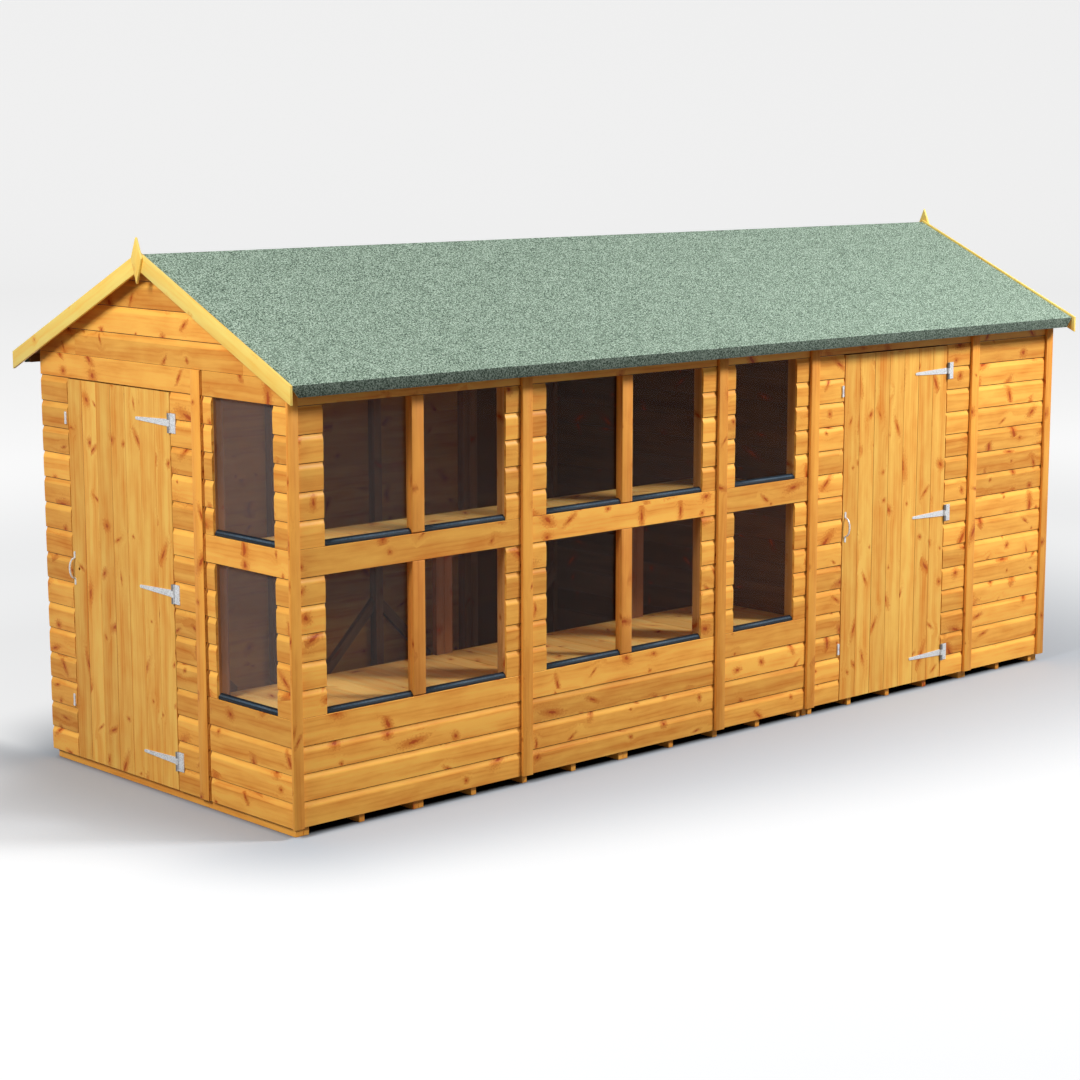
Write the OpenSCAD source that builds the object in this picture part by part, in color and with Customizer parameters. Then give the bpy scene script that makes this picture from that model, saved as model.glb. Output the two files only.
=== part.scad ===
// Long apex potting shed in shiplap timber: two glazed tiers along the front,
// a ledged door in the left gable and another near the right end of the front.
// X runs along the front, Y from front to rear, Z up; the origin is on the ground
// under the middle of the building. All lengths are in millimetres.

/* [Front panels] */
// Width of the corner window panel
panel_1_w = 1209; // [1000:1:1400]
// Width of the second window panel
panel_2_w = 1169; // [1000:1:1400]
// Width of the narrow window panel
panel_3_w = 613; // [520:1:800]
// Width of the front door panel
panel_4_w = 1183; // [1060:1:1500]
// Width of the plain end panel
panel_5_w = 626; // [400:1:900]

/* [Gable panels] */
// Depth of the gable window panel
gable_window_w = 598; // [520:1:800]
// Depth of the gable door panel
gable_door_w = 1152; // [1000:1:1500]
// From the top of the front wall down to the joint under the gable top
gable_joint_drop = 14; // [8:1:40]

/* [Courses and cladding] */
// From the top of the front wall down to the heads of windows and doors
head_drop = 114; // [80:1:160]
// Height at which the board courses are counted from
course_z = 30; // [20:1:40]
// Underside of the lowest board
cladding_base = 37; // [32:1:44]
// Thickness of the cladding
cladding_t = 12; // [10:0.5:18]
// Boards below the lower panes
sill_courses = 4; // [3:1:5]
// Boards beside one pane
pane_courses = 5; // [4:1:5]
// Boards between the two panes
rail_courses = 1; // [1:1:2]

/* [Framing] */
// Depth of the wall frames
frame_d = 45; // [34:1:70]
// Width of a stud or rail
stud_w = 45; // [34:1:50]
// Height of the rear wall's bottom rail
bottom_rail_h = 45; // [34:1:90]
// Width of the light braces and shelf legs
batten_w = 45; // [30:1:60]
// Thickness of the light braces and shelf legs
batten_t = 28; // [20:1:35]

/* [Windows] */
// From the front left corner to the first pane
margin_1_left = 168; // [150:1:200]
// From the last pane of panel 1 to the panel joint
margin_1_right = 109; // [96:1:140]
// From the panel joint to the first pane of panel 2
margin_2_left = 118; // [96:1:140]
// From the last pane of panel 2 to the panel joint
margin_2_right = 118; // [96:1:140]
// From the panel joint to the pane of panel 3
margin_3_left = 92; // [78:1:120]
// From the pane of panel 3 to the panel joint
margin_3_right = 116; // [96:1:140]
// From the front left corner to the gable pane
margin_gable_front = 96; // [92:1:140]
// From the gable pane to the gable panel joint
margin_gable_rear = 101; // [96:1:140]
// Width of a mullion between two panes
mullion_w = 62; // [50:1:80]
// Depth of a mullion behind the boards
mullion_d = 24; // [18:1:30]
// Thickness of the panes
glass_t = 4; // [3:0.5:6]
// Height of the dark glazing sill
sill_h = 24; // [18:1:30]
// Height of the dark glazing sill at its front lip
sill_lip = 9; // [6:1:12]
// Depth of the dark glazing sill
sill_d = 18; // [12:1:22]
// Depth of the level top of the sill along the glass
sill_flat = 4; // [2:1:6]
// How far the sill stands behind the face of the boards
sill_back = 5; // [3:1:8]

/* [Trims] */
// Width of the joint strips
strip_w = 56; // [40:1:70]
// Thickness of the corner trims and joint strips
strip_t = 14; // [10:1:20]
// Open shadow gap beside a joint strip
strip_gap = 4; // [2:1:10]
// Width of the corner trims
corner_w = 50; // [40:1:60]
// How far the left corner trim laps past the gable
trim_lap = 10; // [4:1:12]
// Width of the gable's joint strip
gable_strip_w = 62; // [50:1:80]
// Thickness of the gable's joint strip
gable_strip_t = 5; // [4:0.5:10]
// Open shadow gap beside the gable's joint strip
gable_strip_gap = 14; // [8:1:18]

/* [Doors] */
// Width of a door leaf
door_w = 755; // [650:1:820]
// Clear gap around and behind a door leaf
door_gap = 5; // [5:0.5:8]
// Share of the door panel's spare width on the left of the front leaf
front_door_share = 0.514; // [0.47:0.001:0.53]
// Share of the door panel's spare depth in front of the gable leaf
left_door_share = 0.471; // [0.42:0.001:0.53]
// Height of the leaf's lower edge over the lowest board
leaf_lift = 3; // [2:1:8]
// Thickness of the leaf boards
leaf_t = 12; // [10:0.5:18]
// Width of a ledge or brace on the back of a leaf
ledge_w = 95; // [70:1:110]
// Thickness of a ledge or brace
ledge_t = 20; // [14:1:25]
// How far the ledges stop short of the leaf's edges
ledge_inset = 30; // [20:1:50]
// Distance from the leaf's ends to the outer hinges
hinge_inset = 122; // [100:1:200]

/* [Ironwork] */
// Length of a hinge strap
strap_l = 238; // [150:1:300]
// Width of a strap at the knuckle
strap_w = 30; // [24:1:36]
// Width of a strap at its tip
strap_tip_w = 13; // [10:1:20]
// Thickness of straps and plates
iron_t = 3; // [2:0.5:4]
// Height of a hinge plate
plate_h = 80; // [60:1:110]
// Width of a hinge plate
plate_w = 36; // [24:1:46]
// Outer radius of the hinge knuckles
knuckle_r = 6.5; // [5:0.5:8]
// Radius of the hinge pin
pin_r = 2.5; // [2:0.25:3.5]
// Height of a bow handle
handle_h = 146; // [110:1:180]
// How far a bow handle stands out
handle_out = 32; // [24:1:45]
// Thickness of the handle bar
handle_bar = 9; // [7:0.5:12]
// Height of the handle's middle over the middle of the leaf
handle_rise = 10; // [0:1:40]
// From the free edge to the handle
handle_inset = 18; // [14:1:40]
// Radius of the keyhole
keyhole_r = 6.5; // [5:0.5:9]
// From the handle to the keyhole
keyhole_step = 31; // [26:1:60]
// Height of a turn button
button_h = 54; // [46:1:80]
// Width of a turn button
button_w = 14; // [12:1:24]
// Thickness of a turn button
button_t = 6; // [4:0.5:10]

/* [Base] */
// Height of the joists
joist_h = 45; // [40:1:60]
// Width of a joist
joist_w = 28; // [22:1:34]
// Thickness of the floor boards
floor_t = 14; // [10:1:20]
// Share of the length taken by each wide floor section
floor_wide_share = 0.2417; // [0.22:0.001:0.25]
// From the wall's end to the first joist of a floor section
floor_end = 54; // [48:1:70]
// Strip between the floors of the two rooms
floor_gap = 51; // [40:1:80]

/* [Shelves] */
// From the sill of the lower panes down to the lower shelf
shelf_low_drop = 5; // [3:1:40]
// From the sill of the upper panes down to the upper shelf
shelf_high_drop = 51; // [30:1:80]
// How far the shelf joints lie right of the panel joints
shelf_lap = 26; // [10:1:40]
// Depth of the shelves
shelf_d = 523; // [300:1:600]
// Thickness of the shelves
shelf_t = 16; // [12:1:22]

/* [Roof] */
// Pitch of the roof
roof_pitch = 24.93; // [20:0.1:27]
// Top of the felt at the ridge
ridge_z = 2222; // [2150:1:2300]
// Eave overhang past the walls
eave_out = 95; // [60:1:120]
// Gable overhang of the roof past the walls
gable_out = 47; // [25:1:60]
// How far the roof sits to the left of the walls' middle
roof_shift = 9; // [0:1:15]
// Thickness of the roof boards
roof_t = 16; // [12:1:20]
// Thickness of the felt
felt_t = 3; // [2:0.5:4]
// Height of the felted eave face
eave_face_h = 47; // [42:1:55]
// How far the felted eave face is cut back at the foot of its ends
eave_mitre = 39; // [20:1:45]
// Thickness of the eave fascia
fascia_t = 16; // [12:1:22]
// Plumb height of the bargeboards
barge_h = 75; // [60:1:90]
// Thickness of the bargeboards
barge_t = 12; // [10:1:24]
// Height of the bargeboards' top edge over the felt
barge_rise = 10; // [4:1:16]
// How far the bargeboards run past the felted eave face
barge_lap = 16; // [8:1:24]
// Height of a finial
finial_h = 186; // [150:1:240]
// Width of a finial
finial_w = 72; // [50:1:90]
// Thickness of a finial
finial_t = 12; // [10:1:26]
// Height of the finial tip over the ridge
finial_rise = 68; // [40:1:90]
// Height of a purlin
purlin_h = 70; // [45:1:95]

/* [Fits] */
// Gap between pieces that only seat on each other
seat = 0.3; // [0.2:0.05:0.4]
// Running gap around a hinge pin
pin_gap = 0.05; // [0.02:0.01:0.1]
// Gap between the knuckles of a hinge
knuckle_gap = 0.6; // [0.4:0.1:1]

/* [Part] */
// Piece to draw

/* [Hidden] */
pine = [0.88, 0.63, 0.30];
pine_light = [0.93, 0.72, 0.38];
pine_trim = [0.97, 0.80, 0.42];
pine_dark = [0.62, 0.42, 0.22];
felt_green = [0.55, 0.70, 0.61];
slate = [0.18, 0.23, 0.28];
clear_glass = [0.75, 0.80, 0.82, 0.4];
zinc = [0.82, 0.83, 0.84];
half_share = 0.5;
brace_share = 0.6;

// Plan
joint_1 = panel_1_w;
joint_2 = joint_1 + panel_2_w;
joint_3 = joint_2 + panel_3_w;
joint_4 = joint_3 + panel_4_w;
wall_l = joint_4 + panel_5_w;
wall_w = gable_window_w + gable_door_w;
mid_l = wall_l * half_share;
mid_w = wall_w * half_share;
wall_t = cladding_t + frame_d;
strip_half = strip_w * half_share;
roof_x0 = -gable_out - roof_shift;
roof_x1 = wall_l + gable_out - roof_shift;

// Heights
floor_z = joist_h + floor_t;
rise = tan(roof_pitch);
roof_plumb = roof_t / cos(roof_pitch);
felt_plumb = felt_t / cos(roof_pitch);
roof_under_ridge = ridge_z - roof_plumb - felt_plumb;
wall_top = roof_under_ridge - mid_w * rise - seat;
plate_z = wall_top - stud_w;
gable_joint_z = wall_top - gable_joint_drop;
head_z = wall_top - head_drop;
course_h = (head_z - course_z) / (sill_courses + pane_courses * 2 + rail_courses);
sill_z = course_z + sill_courses * course_h;
rail_z = sill_z + pane_courses * course_h;
upper_z = rail_z + rail_courses * course_h;
shelf_low_z = sill_z - shelf_low_drop;
shelf_high_z = upper_z - shelf_high_drop;

// Doors
leaf_z = cladding_base + leaf_lift;
leaf_top = head_z - door_gap;
leaf_h = leaf_top - leaf_z;
front_leaf_x = joint_3 + (panel_4_w - door_w) * front_door_share;
front_leaf_end = front_leaf_x + door_w;
left_leaf_y = gable_window_w + (gable_door_w - door_w) * left_door_share;
left_leaf_end = left_leaf_y + door_w;
pin_out = knuckle_r + seat;
hinge_zs = [leaf_z + hinge_inset, leaf_z + leaf_h * half_share, leaf_top - hinge_inset];
button_zs = [leaf_z + hinge_inset + plate_h + batten_w, leaf_top - hinge_inset - batten_w];
handle_z = leaf_z + leaf_h * half_share + handle_rise - handle_h * half_share;
floor_in = cladding_t + door_gap + seat;

// Puts a plan that starts at the outer front left corner about the origin
module placed() {
    translate([-mid_l, -mid_w, 0])
        children();
}

// A box between two corners
module slab(x0, x1, y0, y1, z0, z1) {
    translate([x0, y0, z0])
        cube([x1 - x0, y1 - y0, z1 - z0]);
}

// A side profile in Y and Z, run along X
module run_x(x0, x1, points) {
    translate([x0, 0, 0])
        rotate([90, 0, 90])
            linear_extrude(height = x1 - x0)
                polygon(points);
}

// Cladding of the front wall
module front_slab(u0, u1, z0, z1) {
    slab(u0, u1, 0, cladding_t, z0, z1);
}

// Cladding of the left gable wall
module left_slab(u0, u1, z0, z1) {
    slab(0, cladding_t, u0, u1, z0, z1);
}

// Timber of the front frame
module front_stud(u0, u1, z0, z1) {
    slab(u0, u1, cladding_t, wall_t, z0, z1);
}

// Timber of the left frame
module left_stud(u0, u1, z0, z1) {
    slab(cladding_t, wall_t, u0, u1, z0, z1);
}

// Cladding around one or two columns of panes on the front
module front_glazed(u0, u1, w0, w1) {
    front_slab(u0, u1, cladding_base, sill_z - seat);
    front_slab(u0, w0, sill_z, rail_z - seat);
    front_slab(w1, u1, sill_z, rail_z - seat);
    front_slab(u0, u1, rail_z, upper_z - seat);
    front_slab(u0, w0, upper_z, head_z - seat);
    front_slab(w1, u1, upper_z, head_z - seat);
    front_slab(u0, u1, head_z, wall_top);
}

// Base
floor_wide_w = wall_l * floor_wide_share;
floor_slim_w = (wall_l - floor_end * 2 - floor_gap - floor_wide_w * 3) * half_share;
floor_a = floor_end + floor_slim_w;
floor_b = floor_a + floor_wide_w;
floor_c = floor_b + floor_wide_w;
floor_d = floor_c + floor_gap;
floor_e = floor_d + floor_wide_w;
floor_f = floor_e + floor_slim_w;
joist_runs = [[floor_end, floor_a, 2], [floor_a, floor_b, 4], [floor_b, floor_c, 4],
    [floor_d, floor_e, 4], [floor_e, floor_f, 2]];
lone_x = (floor_c + floor_d - joist_w) * half_share;
lone_joists = [[floor_in, floor_end], [lone_x, lone_x + joist_w], [wall_l - floor_end, wall_l - floor_in]];
floor_runs = [[floor_in, floor_a], [floor_a, floor_b], [floor_b, floor_c], [floor_c, floor_d],
    [floor_d, floor_e], [floor_e, wall_l - floor_in]];
floor_split = gable_window_w;

// A joist in two lengths, split where the gable panels meet
module joist(x, w = joist_w) {
    slab(x, x + w, floor_in, floor_split - seat, 0, joist_h);
    slab(x, x + w, floor_split, wall_w - floor_in, 0, joist_h);
}

module floor_joists() {
    color(pine) placed() {
        for (run = joist_runs)
            for (k = [0 : run[2]])
                joist(run[0] + seat + (run[1] - run[0] - joist_w - seat * 2) * k / run[2]);
        for (run = lone_joists)
            joist(run[0], run[1] - run[0]);
    }
}

module floor_boards() {
    color(pine_light) placed()
        for (run = floor_runs) {
            slab(run[0] + seat, run[1] - seat, floor_in, floor_split - seat, joist_h, floor_z);
            slab(run[0] + seat, run[1] - seat, floor_split, wall_w - floor_in, joist_h, floor_z);
        }
}

// Front wall
strip_1 = joint_1 - strip_half;
strip_2 = joint_2 - strip_half;
strip_3 = joint_3 - strip_half;
strip_4 = joint_4 - strip_half;
panes_1 = [margin_1_left, joint_1 - margin_1_right];
panes_2 = [joint_1 + margin_2_left, joint_2 - margin_2_right];
panes_3 = [joint_2 + margin_3_left, joint_3 - margin_3_right];
panes_g = [margin_gable_front, gable_window_w - margin_gable_rear];
mull_1 = (panes_1[0] + panes_1[1] - mullion_w) * half_share;
mull_2 = (panes_2[0] + panes_2[1] - mullion_w) * half_share;
front_hole = [front_leaf_x - door_gap, front_leaf_end + door_gap];
left_hole = [left_leaf_y - door_gap, left_leaf_end + door_gap];

module front_window_panel_1() {
    color(pine) placed()
        front_glazed(cladding_t + seat, strip_1 - strip_gap, panes_1[0], panes_1[1]);
}

module front_window_panel_2() {
    color(pine) placed()
        front_glazed(strip_1, strip_2 - strip_gap, panes_2[0], panes_2[1]);
}

module front_window_panel_3() {
    color(pine) placed()
        front_glazed(strip_2, strip_3 - strip_gap, panes_3[0], panes_3[1]);
}

module front_door_side_left() {
    color(pine) placed()
        front_slab(strip_3, front_hole[0], cladding_base, head_z - seat);
}

module front_door_side_right() {
    color(pine) placed()
        front_slab(front_hole[1], strip_4 - strip_gap, cladding_base, head_z - seat);
}

module front_door_header() {
    color(pine) placed()
        front_slab(strip_3, strip_4 - strip_gap, head_z, wall_top);
}

module front_plain_panel() {
    color(pine) placed()
        front_slab(strip_4, wall_l - cladding_t - seat, cladding_base, wall_top);
}

// Rails and studs of a glazed front panel
module front_window_frame(u0, u1, w0, w1) {
    front_stud(u0 + seat, u1 - seat, floor_z, floor_z + stud_w);
    front_stud(u0 + seat, u1 - seat, plate_z, wall_top);
    for (x = [u0 + seat, u1 - stud_w - seat])
        front_stud(x, x + stud_w, floor_z + stud_w + seat, plate_z - seat);
    low = max(w0 - stud_w, u0 + stud_w + seat * 2);
    high = min(w1 + stud_w, u1 - stud_w - seat * 2);
    front_stud(low, w0, floor_z + stud_w + seat, plate_z - seat);
    front_stud(w1, high, floor_z + stud_w + seat, plate_z - seat);
    front_stud(w0 + seat, w1 - seat, sill_z - stud_w, sill_z);
    front_stud(w0 + seat, w1 - seat, rail_z, upper_z);
    front_stud(w0 + seat, w1 - seat, head_z, head_z + stud_w);
}

// Rails and studs of a plain stretch of the front
module front_plain_frame(u0, u1) {
    front_stud(u0 + seat, u1 - seat, floor_z, floor_z + stud_w);
    front_stud(u0 + seat, u1 - seat, plate_z, wall_top);
    for (x = [u0 + seat, u1 - stud_w - seat])
        front_stud(x, x + stud_w, floor_z + stud_w + seat, plate_z - seat);
}

module front_frame() {
    color(pine_dark) placed() {
        front_window_frame(wall_t, strip_1, panes_1[0], panes_1[1]);
        front_window_frame(strip_1, strip_2, panes_2[0], panes_2[1]);
        front_window_frame(strip_2, strip_3, panes_3[0], panes_3[1]);
        front_plain_frame(strip_4, wall_l - wall_t);
        front_stud(strip_3 + seat, strip_4 - seat, plate_z, wall_top);
        front_stud(front_hole[0] + seat, front_hole[1] - seat, head_z, head_z + stud_w);
        for (u = [[strip_3, strip_3 + stud_w], [front_hole[0] - stud_w, front_hole[0]],
                [front_hole[1], front_hole[1] + stud_w], [strip_4 - stud_w, strip_4]])
            front_stud(u[0] + seat, u[1] - seat, floor_z, plate_z - seat);
    }
}

// Rear wall
rear_joints = [cladding_t + seat, joint_1, joint_2, joint_3 + panel_5_w, wall_l - cladding_t - seat];

module rear_panels() {
    color(pine) placed()
        for (i = [0 : len(rear_joints) - 2])
            slab(rear_joints[i], rear_joints[i + 1] - seat, wall_w - cladding_t, wall_w,
                cladding_base, wall_top);
}

module rear_stud(u0, u1, z0, z1) {
    slab(u0, u1, wall_w - wall_t, wall_w - cladding_t, z0, z1);
}

// A brace that leans from a rail up to a stud on the rear wall
module rear_brace(foot, head, z0, z1) {
    span = batten_w / abs(head - foot) * sqrt(pow(head - foot, 2) + pow(z1 - z0, 2));
    translate([0, wall_w - cladding_t - batten_t, 0])
        rotate([90, 0, 0])
            translate([0, 0, -batten_t])
                linear_extrude(height = batten_t)
                    polygon([[foot, z0], [head, z1], [head, z1 + span], [foot, z0 + span]]);
}

module rear_frame() {
    color(pine_dark) placed() {
        edges = [wall_t, joint_1, joint_2, joint_3 + panel_5_w, wall_l - wall_t];
        foot_z = floor_z + bottom_rail_h;
        for (i = [0 : len(edges) - 2]) {
            u0 = edges[i] + seat;
            u1 = edges[i + 1] - seat;
            mid = (u0 + u1) * half_share;
            rear_stud(u0, u1, floor_z, foot_z);
            rear_stud(u0, u1, plate_z, wall_top);
            for (x = [u0, mid - stud_w * half_share, u1 - stud_w])
                rear_stud(x, x + stud_w, foot_z + seat, plate_z - seat);
            reach = mid - stud_w * half_share - seat;
            drop = (reach - u0 - stud_w - seat) * brace_share;
            rear_brace(reach - drop, reach, foot_z + seat, foot_z + seat + drop);
            rear_brace(mid * 2 - reach + drop, mid * 2 - reach, foot_z + seat, foot_z + seat + drop);
        }
    }
}

// Left gable wall
left_strip = gable_window_w - gable_strip_w * half_share;

module left_door_side_rear() {
    color(pine) placed()
        left_slab(left_hole[1], wall_w, cladding_base, head_z - seat);
}

module left_door_side_front() {
    color(pine) placed()
        left_slab(left_strip, left_hole[0], cladding_base, head_z - seat);
}

module left_door_header() {
    color(pine) placed()
        left_slab(left_strip, wall_w, head_z, gable_joint_z - seat);
}

module left_window_panel() {
    u1 = left_strip - gable_strip_gap;
    color(pine) placed() {
        left_slab(0, u1, cladding_base, sill_z - seat);
        left_slab(0, panes_g[0], sill_z, rail_z - seat);
        left_slab(panes_g[1], u1, sill_z, rail_z - seat);
        left_slab(0, u1, rail_z, upper_z - seat);
        left_slab(0, panes_g[0], upper_z, head_z - seat);
        left_slab(panes_g[1], u1, upper_z, head_z - seat);
        left_slab(0, u1, head_z, gable_joint_z - seat);
    }
}

// Profile of a gable over the panel joint
gable_points = [[0, gable_joint_z], [wall_w, gable_joint_z], [wall_w, wall_top],
    [mid_w, wall_top + mid_w * rise], [0, wall_top]];

module left_gable_top() {
    color(pine) placed()
        run_x(0, cladding_t, gable_points);
}

module left_frame() {
    color(pine_dark) placed() {
        foot_z = floor_z + stud_w + seat;
        front_y = cladding_t + seat;
        rear_y = wall_w - cladding_t - seat;
        for (u = [[front_y, left_strip - seat], [left_strip, left_hole[0]], [left_hole[1], rear_y]]) {
            left_stud(u[0], u[1], floor_z, floor_z + stud_w);
            for (x = [u[0], u[1] - stud_w])
                left_stud(x, x + stud_w, foot_z, plate_z - seat * 2);
        }
        left_stud(front_y, rear_y, plate_z - seat, wall_top - seat);
        left_stud(left_hole[0] + seat, left_hole[1] - seat, head_z, head_z + stud_w);
        left_stud(front_y + stud_w + seat, panes_g[0], foot_z, plate_z - seat * 2);
        left_stud(panes_g[1], left_strip - stud_w - seat * 2, foot_z, plate_z - seat * 2);
        for (z = [[sill_z - stud_w, sill_z], [rail_z, upper_z], [head_z, head_z + stud_w]])
            left_stud(panes_g[0] + seat, panes_g[1] - seat, z[0], z[1]);
    }
}

// Right gable wall
module right_panels() {
    color(pine) placed() {
        slab(wall_l - cladding_t, wall_l, 0, mid_w - seat, cladding_base, gable_joint_z - seat);
        slab(wall_l - cladding_t, wall_l, mid_w, wall_w, cladding_base, gable_joint_z - seat);
    }
}

module right_gable_top() {
    color(pine) placed()
        run_x(wall_l - cladding_t, wall_l, gable_points);
}

module right_frame() {
    color(pine_dark) placed() {
        x0 = wall_l - wall_t;
        x1 = wall_l - cladding_t;
        u0 = cladding_t + seat;
        u1 = wall_w - cladding_t - seat;
        slab(x0, x1, u0, u1, floor_z, floor_z + stud_w);
        slab(x0, x1, u0, u1, plate_z - seat, wall_top - seat);
        for (y = [u0, mid_w - stud_w - seat, mid_w + seat, u1 - stud_w])
            slab(x0, x1, y, y + stud_w, floor_z + stud_w + seat, plate_z - seat * 2);
    }
}

// Partition between the potting side and the store
part_x = joint_3 - strip_half;

module partition() {
    color(pine_dark) placed() {
        y0 = wall_t + seat;
        y1 = wall_w - wall_t - seat;
        slab(part_x, part_x + cladding_t, y0, y1, floor_z, gable_joint_z);
        for (z = [floor_z, gable_joint_z - stud_w])
            slab(part_x + cladding_t + seat, part_x + wall_t, y0, y1, z, z + stud_w);
        for (y = [y0, mid_w - stud_w * half_share, y1 - stud_w])
            slab(part_x + cladding_t + seat, part_x + wall_t, y, y + stud_w,
                floor_z + stud_w + seat, gable_joint_z - stud_w - seat);
    }
}

// Trims
trim_top = wall_top - seat;

module corner_trims() {
    color(pine_trim) placed()
        for (x = [-trim_lap, wall_l - corner_w])
            slab(x, x + corner_w, -strip_t, 0, cladding_base, trim_top - strip_t * rise);
}

module cover_strips() {
    strip_top = trim_top - strip_t * rise;
    color(pine_trim) placed() {
        for (x = [strip_1, strip_2, strip_3, strip_4])
            slab(x, x + strip_w, -strip_t, 0, cladding_base, strip_top);
        for (i = [1 : len(rear_joints) - 2])
            slab(rear_joints[i] - strip_half, rear_joints[i] + strip_half, wall_w, wall_w + strip_t,
                cladding_base, strip_top);
        slab(-gable_strip_t, 0, left_strip, left_strip + gable_strip_w, cladding_base,
            gable_joint_z - seat);
        slab(wall_l, wall_l + gable_strip_t, mid_w - strip_half, mid_w + strip_half, cladding_base,
            gable_joint_z - seat);
    }
}

// Glazing
tiers = [[sill_z, rail_z], [upper_z, head_z]];
front_panes = [[panes_1[0], mull_1], [mull_1 + mullion_w, panes_1[1]], [panes_2[0], mull_2],
    [mull_2 + mullion_w, panes_2[1]], [panes_3[0], panes_3[1]]];
glass_in = sill_back + sill_d;

module window_mullions() {
    color(pine_light) placed()
        for (t = tiers)
            for (x = [mull_1, mull_2])
                slab(x, x + mullion_w, cladding_t, cladding_t + mullion_d, t[0] + seat, t[1] - seat * 2);
}

// Side profile of a glazing sill that slopes from the glass down to its lip
function sill_points(z) = [[sill_back, z], [glass_in - seat, z], [glass_in - seat, z + sill_h],
    [glass_in - seat - sill_flat, z + sill_h], [sill_back, z + sill_lip]];

module window_sills() {
    color(slate) placed()
        for (t = tiers) {
            for (p = front_panes)
                run_x(p[0] + seat, p[1] - seat, sill_points(t[0]));
            rotate([0, 0, -90])
                run_x(seat - panes_g[1], -panes_g[0] - seat, sill_points(t[0]));
        }
}

module window_glass() {
    color(clear_glass) placed()
        for (t = tiers) {
            for (p = front_panes)
                slab(p[0] + seat, p[1] - seat, glass_in, glass_in + glass_t, t[0] + seat, t[1] - seat * 2);
            slab(glass_in, glass_in + glass_t, panes_g[0] + seat, panes_g[1] - seat, t[0] + seat,
                t[1] - seat * 2);
        }
}

// Shelves behind the windows
shelf_edges = [wall_t + seat, joint_1 + shelf_lap, joint_2 + shelf_lap, part_x];
shelf_back = wall_t + seat + shelf_d;

module potting_shelves() {
    color(pine_light) placed()
        for (z = [shelf_low_z, shelf_high_z])
            for (i = [0 : len(shelf_edges) - 2])
                slab(shelf_edges[i], shelf_edges[i + 1] - seat, wall_t + seat, shelf_back, z - shelf_t, z);
}

module shelf_legs() {
    y1 = shelf_back - seat;
    y0 = y1 - batten_t;
    color(pine_light) placed()
        for (i = [0 : len(shelf_edges) - 2])
            for (x = [shelf_edges[i] + seat, shelf_edges[i + 1] - batten_w - seat * 2]) {
                slab(x, x + batten_w, y0, y1, floor_z, shelf_low_z - shelf_t - seat);
                slab(x, x + batten_w, y0, y1, shelf_low_z + seat, shelf_high_z - shelf_t - seat);
            }
}

// Roof
eave_felt_z = ridge_z - (mid_w + eave_out) * rise;
eave_low_z = eave_felt_z - eave_face_h;
board_out = eave_out - felt_t;

// Height of the roof's underside over a place in front of the ridge
function under_z(y) = roof_under_ridge - (mid_w - y) * rise;

// Half of the roof, drawn for the front slope
roof_points = [[-board_out, under_z(-board_out)], [mid_w - seat, under_z(mid_w - seat)],
    [mid_w - seat, under_z(mid_w - seat) + roof_plumb], [-board_out, under_z(-board_out) + roof_plumb]];
felt_points = [[-board_out, eave_low_z], [-board_out, under_z(-board_out) + roof_plumb],
    [mid_w - seat, under_z(mid_w - seat) + roof_plumb], [mid_w - seat, ridge_z - seat * rise],
    [-eave_out, eave_felt_z], [-eave_out, eave_low_z]];
fascia_back = -board_out + fascia_t;
fascia_points = [[-board_out, eave_low_z], [fascia_back, eave_low_z], [fascia_back, under_z(fascia_back)],
    [-board_out, under_z(-board_out)]];
barge_end = -eave_out - barge_lap;
barge_top = ridge_z + barge_rise;
barge_low = barge_top - (mid_w - barge_end) * rise;
barge_points = [[barge_end, barge_low - barge_h], [mid_w - seat, barge_top - barge_h],
    [mid_w - seat, barge_top], [barge_end, barge_low]];

// Mirrors a profile of the front slope to the rear slope
function to_rear(points) = [for (p = points) [wall_w - p[0], p[1]]];

// Corners cut from the felted eave face, from a plane Y on by the thickness of the felt
module mitre_cuts(y) {
    foot_z = eave_low_z - seat;
    translate([0, y + felt_t, 0])
        rotate([90, 0, 0])
            linear_extrude(height = felt_t) {
                polygon([[roof_x0, eave_felt_z], [roof_x0, foot_z], [roof_x0 + eave_mitre, foot_z]]);
                polygon([[roof_x1, eave_felt_z], [roof_x1, foot_z], [roof_x1 - eave_mitre, foot_z]]);
            }
}

module roof_boards_front() {
    color(pine_light) placed()
        run_x(roof_x0, roof_x1, roof_points);
}

module roof_boards_rear() {
    color(pine_light) placed()
        run_x(roof_x0, roof_x1, to_rear(roof_points));
}

module roof_felt_front() {
    color(felt_green) placed()
        difference() {
            run_x(roof_x0, roof_x1, felt_points);
            mitre_cuts(-eave_out);
        }
}

module roof_felt_rear() {
    color(felt_green) placed()
        difference() {
            run_x(roof_x0, roof_x1, to_rear(felt_points));
            mitre_cuts(wall_w + board_out);
        }
}

module eave_fascias() {
    color(pine_dark) placed() {
        run_x(0, wall_l, fascia_points);
        run_x(0, wall_l, to_rear(fascia_points));
    }
}

module roof_purlins() {
    x0 = cladding_t + seat;
    x1 = wall_l - cladding_t - seat;
    color(pine_dark) placed() {
        for (y = [mid_w * half_share, wall_w - mid_w * half_share - stud_w]) {
            low = y < mid_w ? y : wall_w - y - stud_w;
            top = under_z(low) - seat;
            slab(x0, x1, y, y + stud_w, top - purlin_h, top);
        }
        ridge_low = mid_w - batten_t * half_share;
        ridge_top = under_z(ridge_low) - seat;
        slab(x0, x1, ridge_low, ridge_low + batten_t, ridge_top - purlin_h, ridge_top);
    }
}

module bargeboards() {
    color(pine_trim) placed()
        for (x = [roof_x0 - barge_t, roof_x1]) {
            run_x(x, x + barge_t, barge_points);
            run_x(x, x + barge_t, to_rear(barge_points));
        }
}

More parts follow.
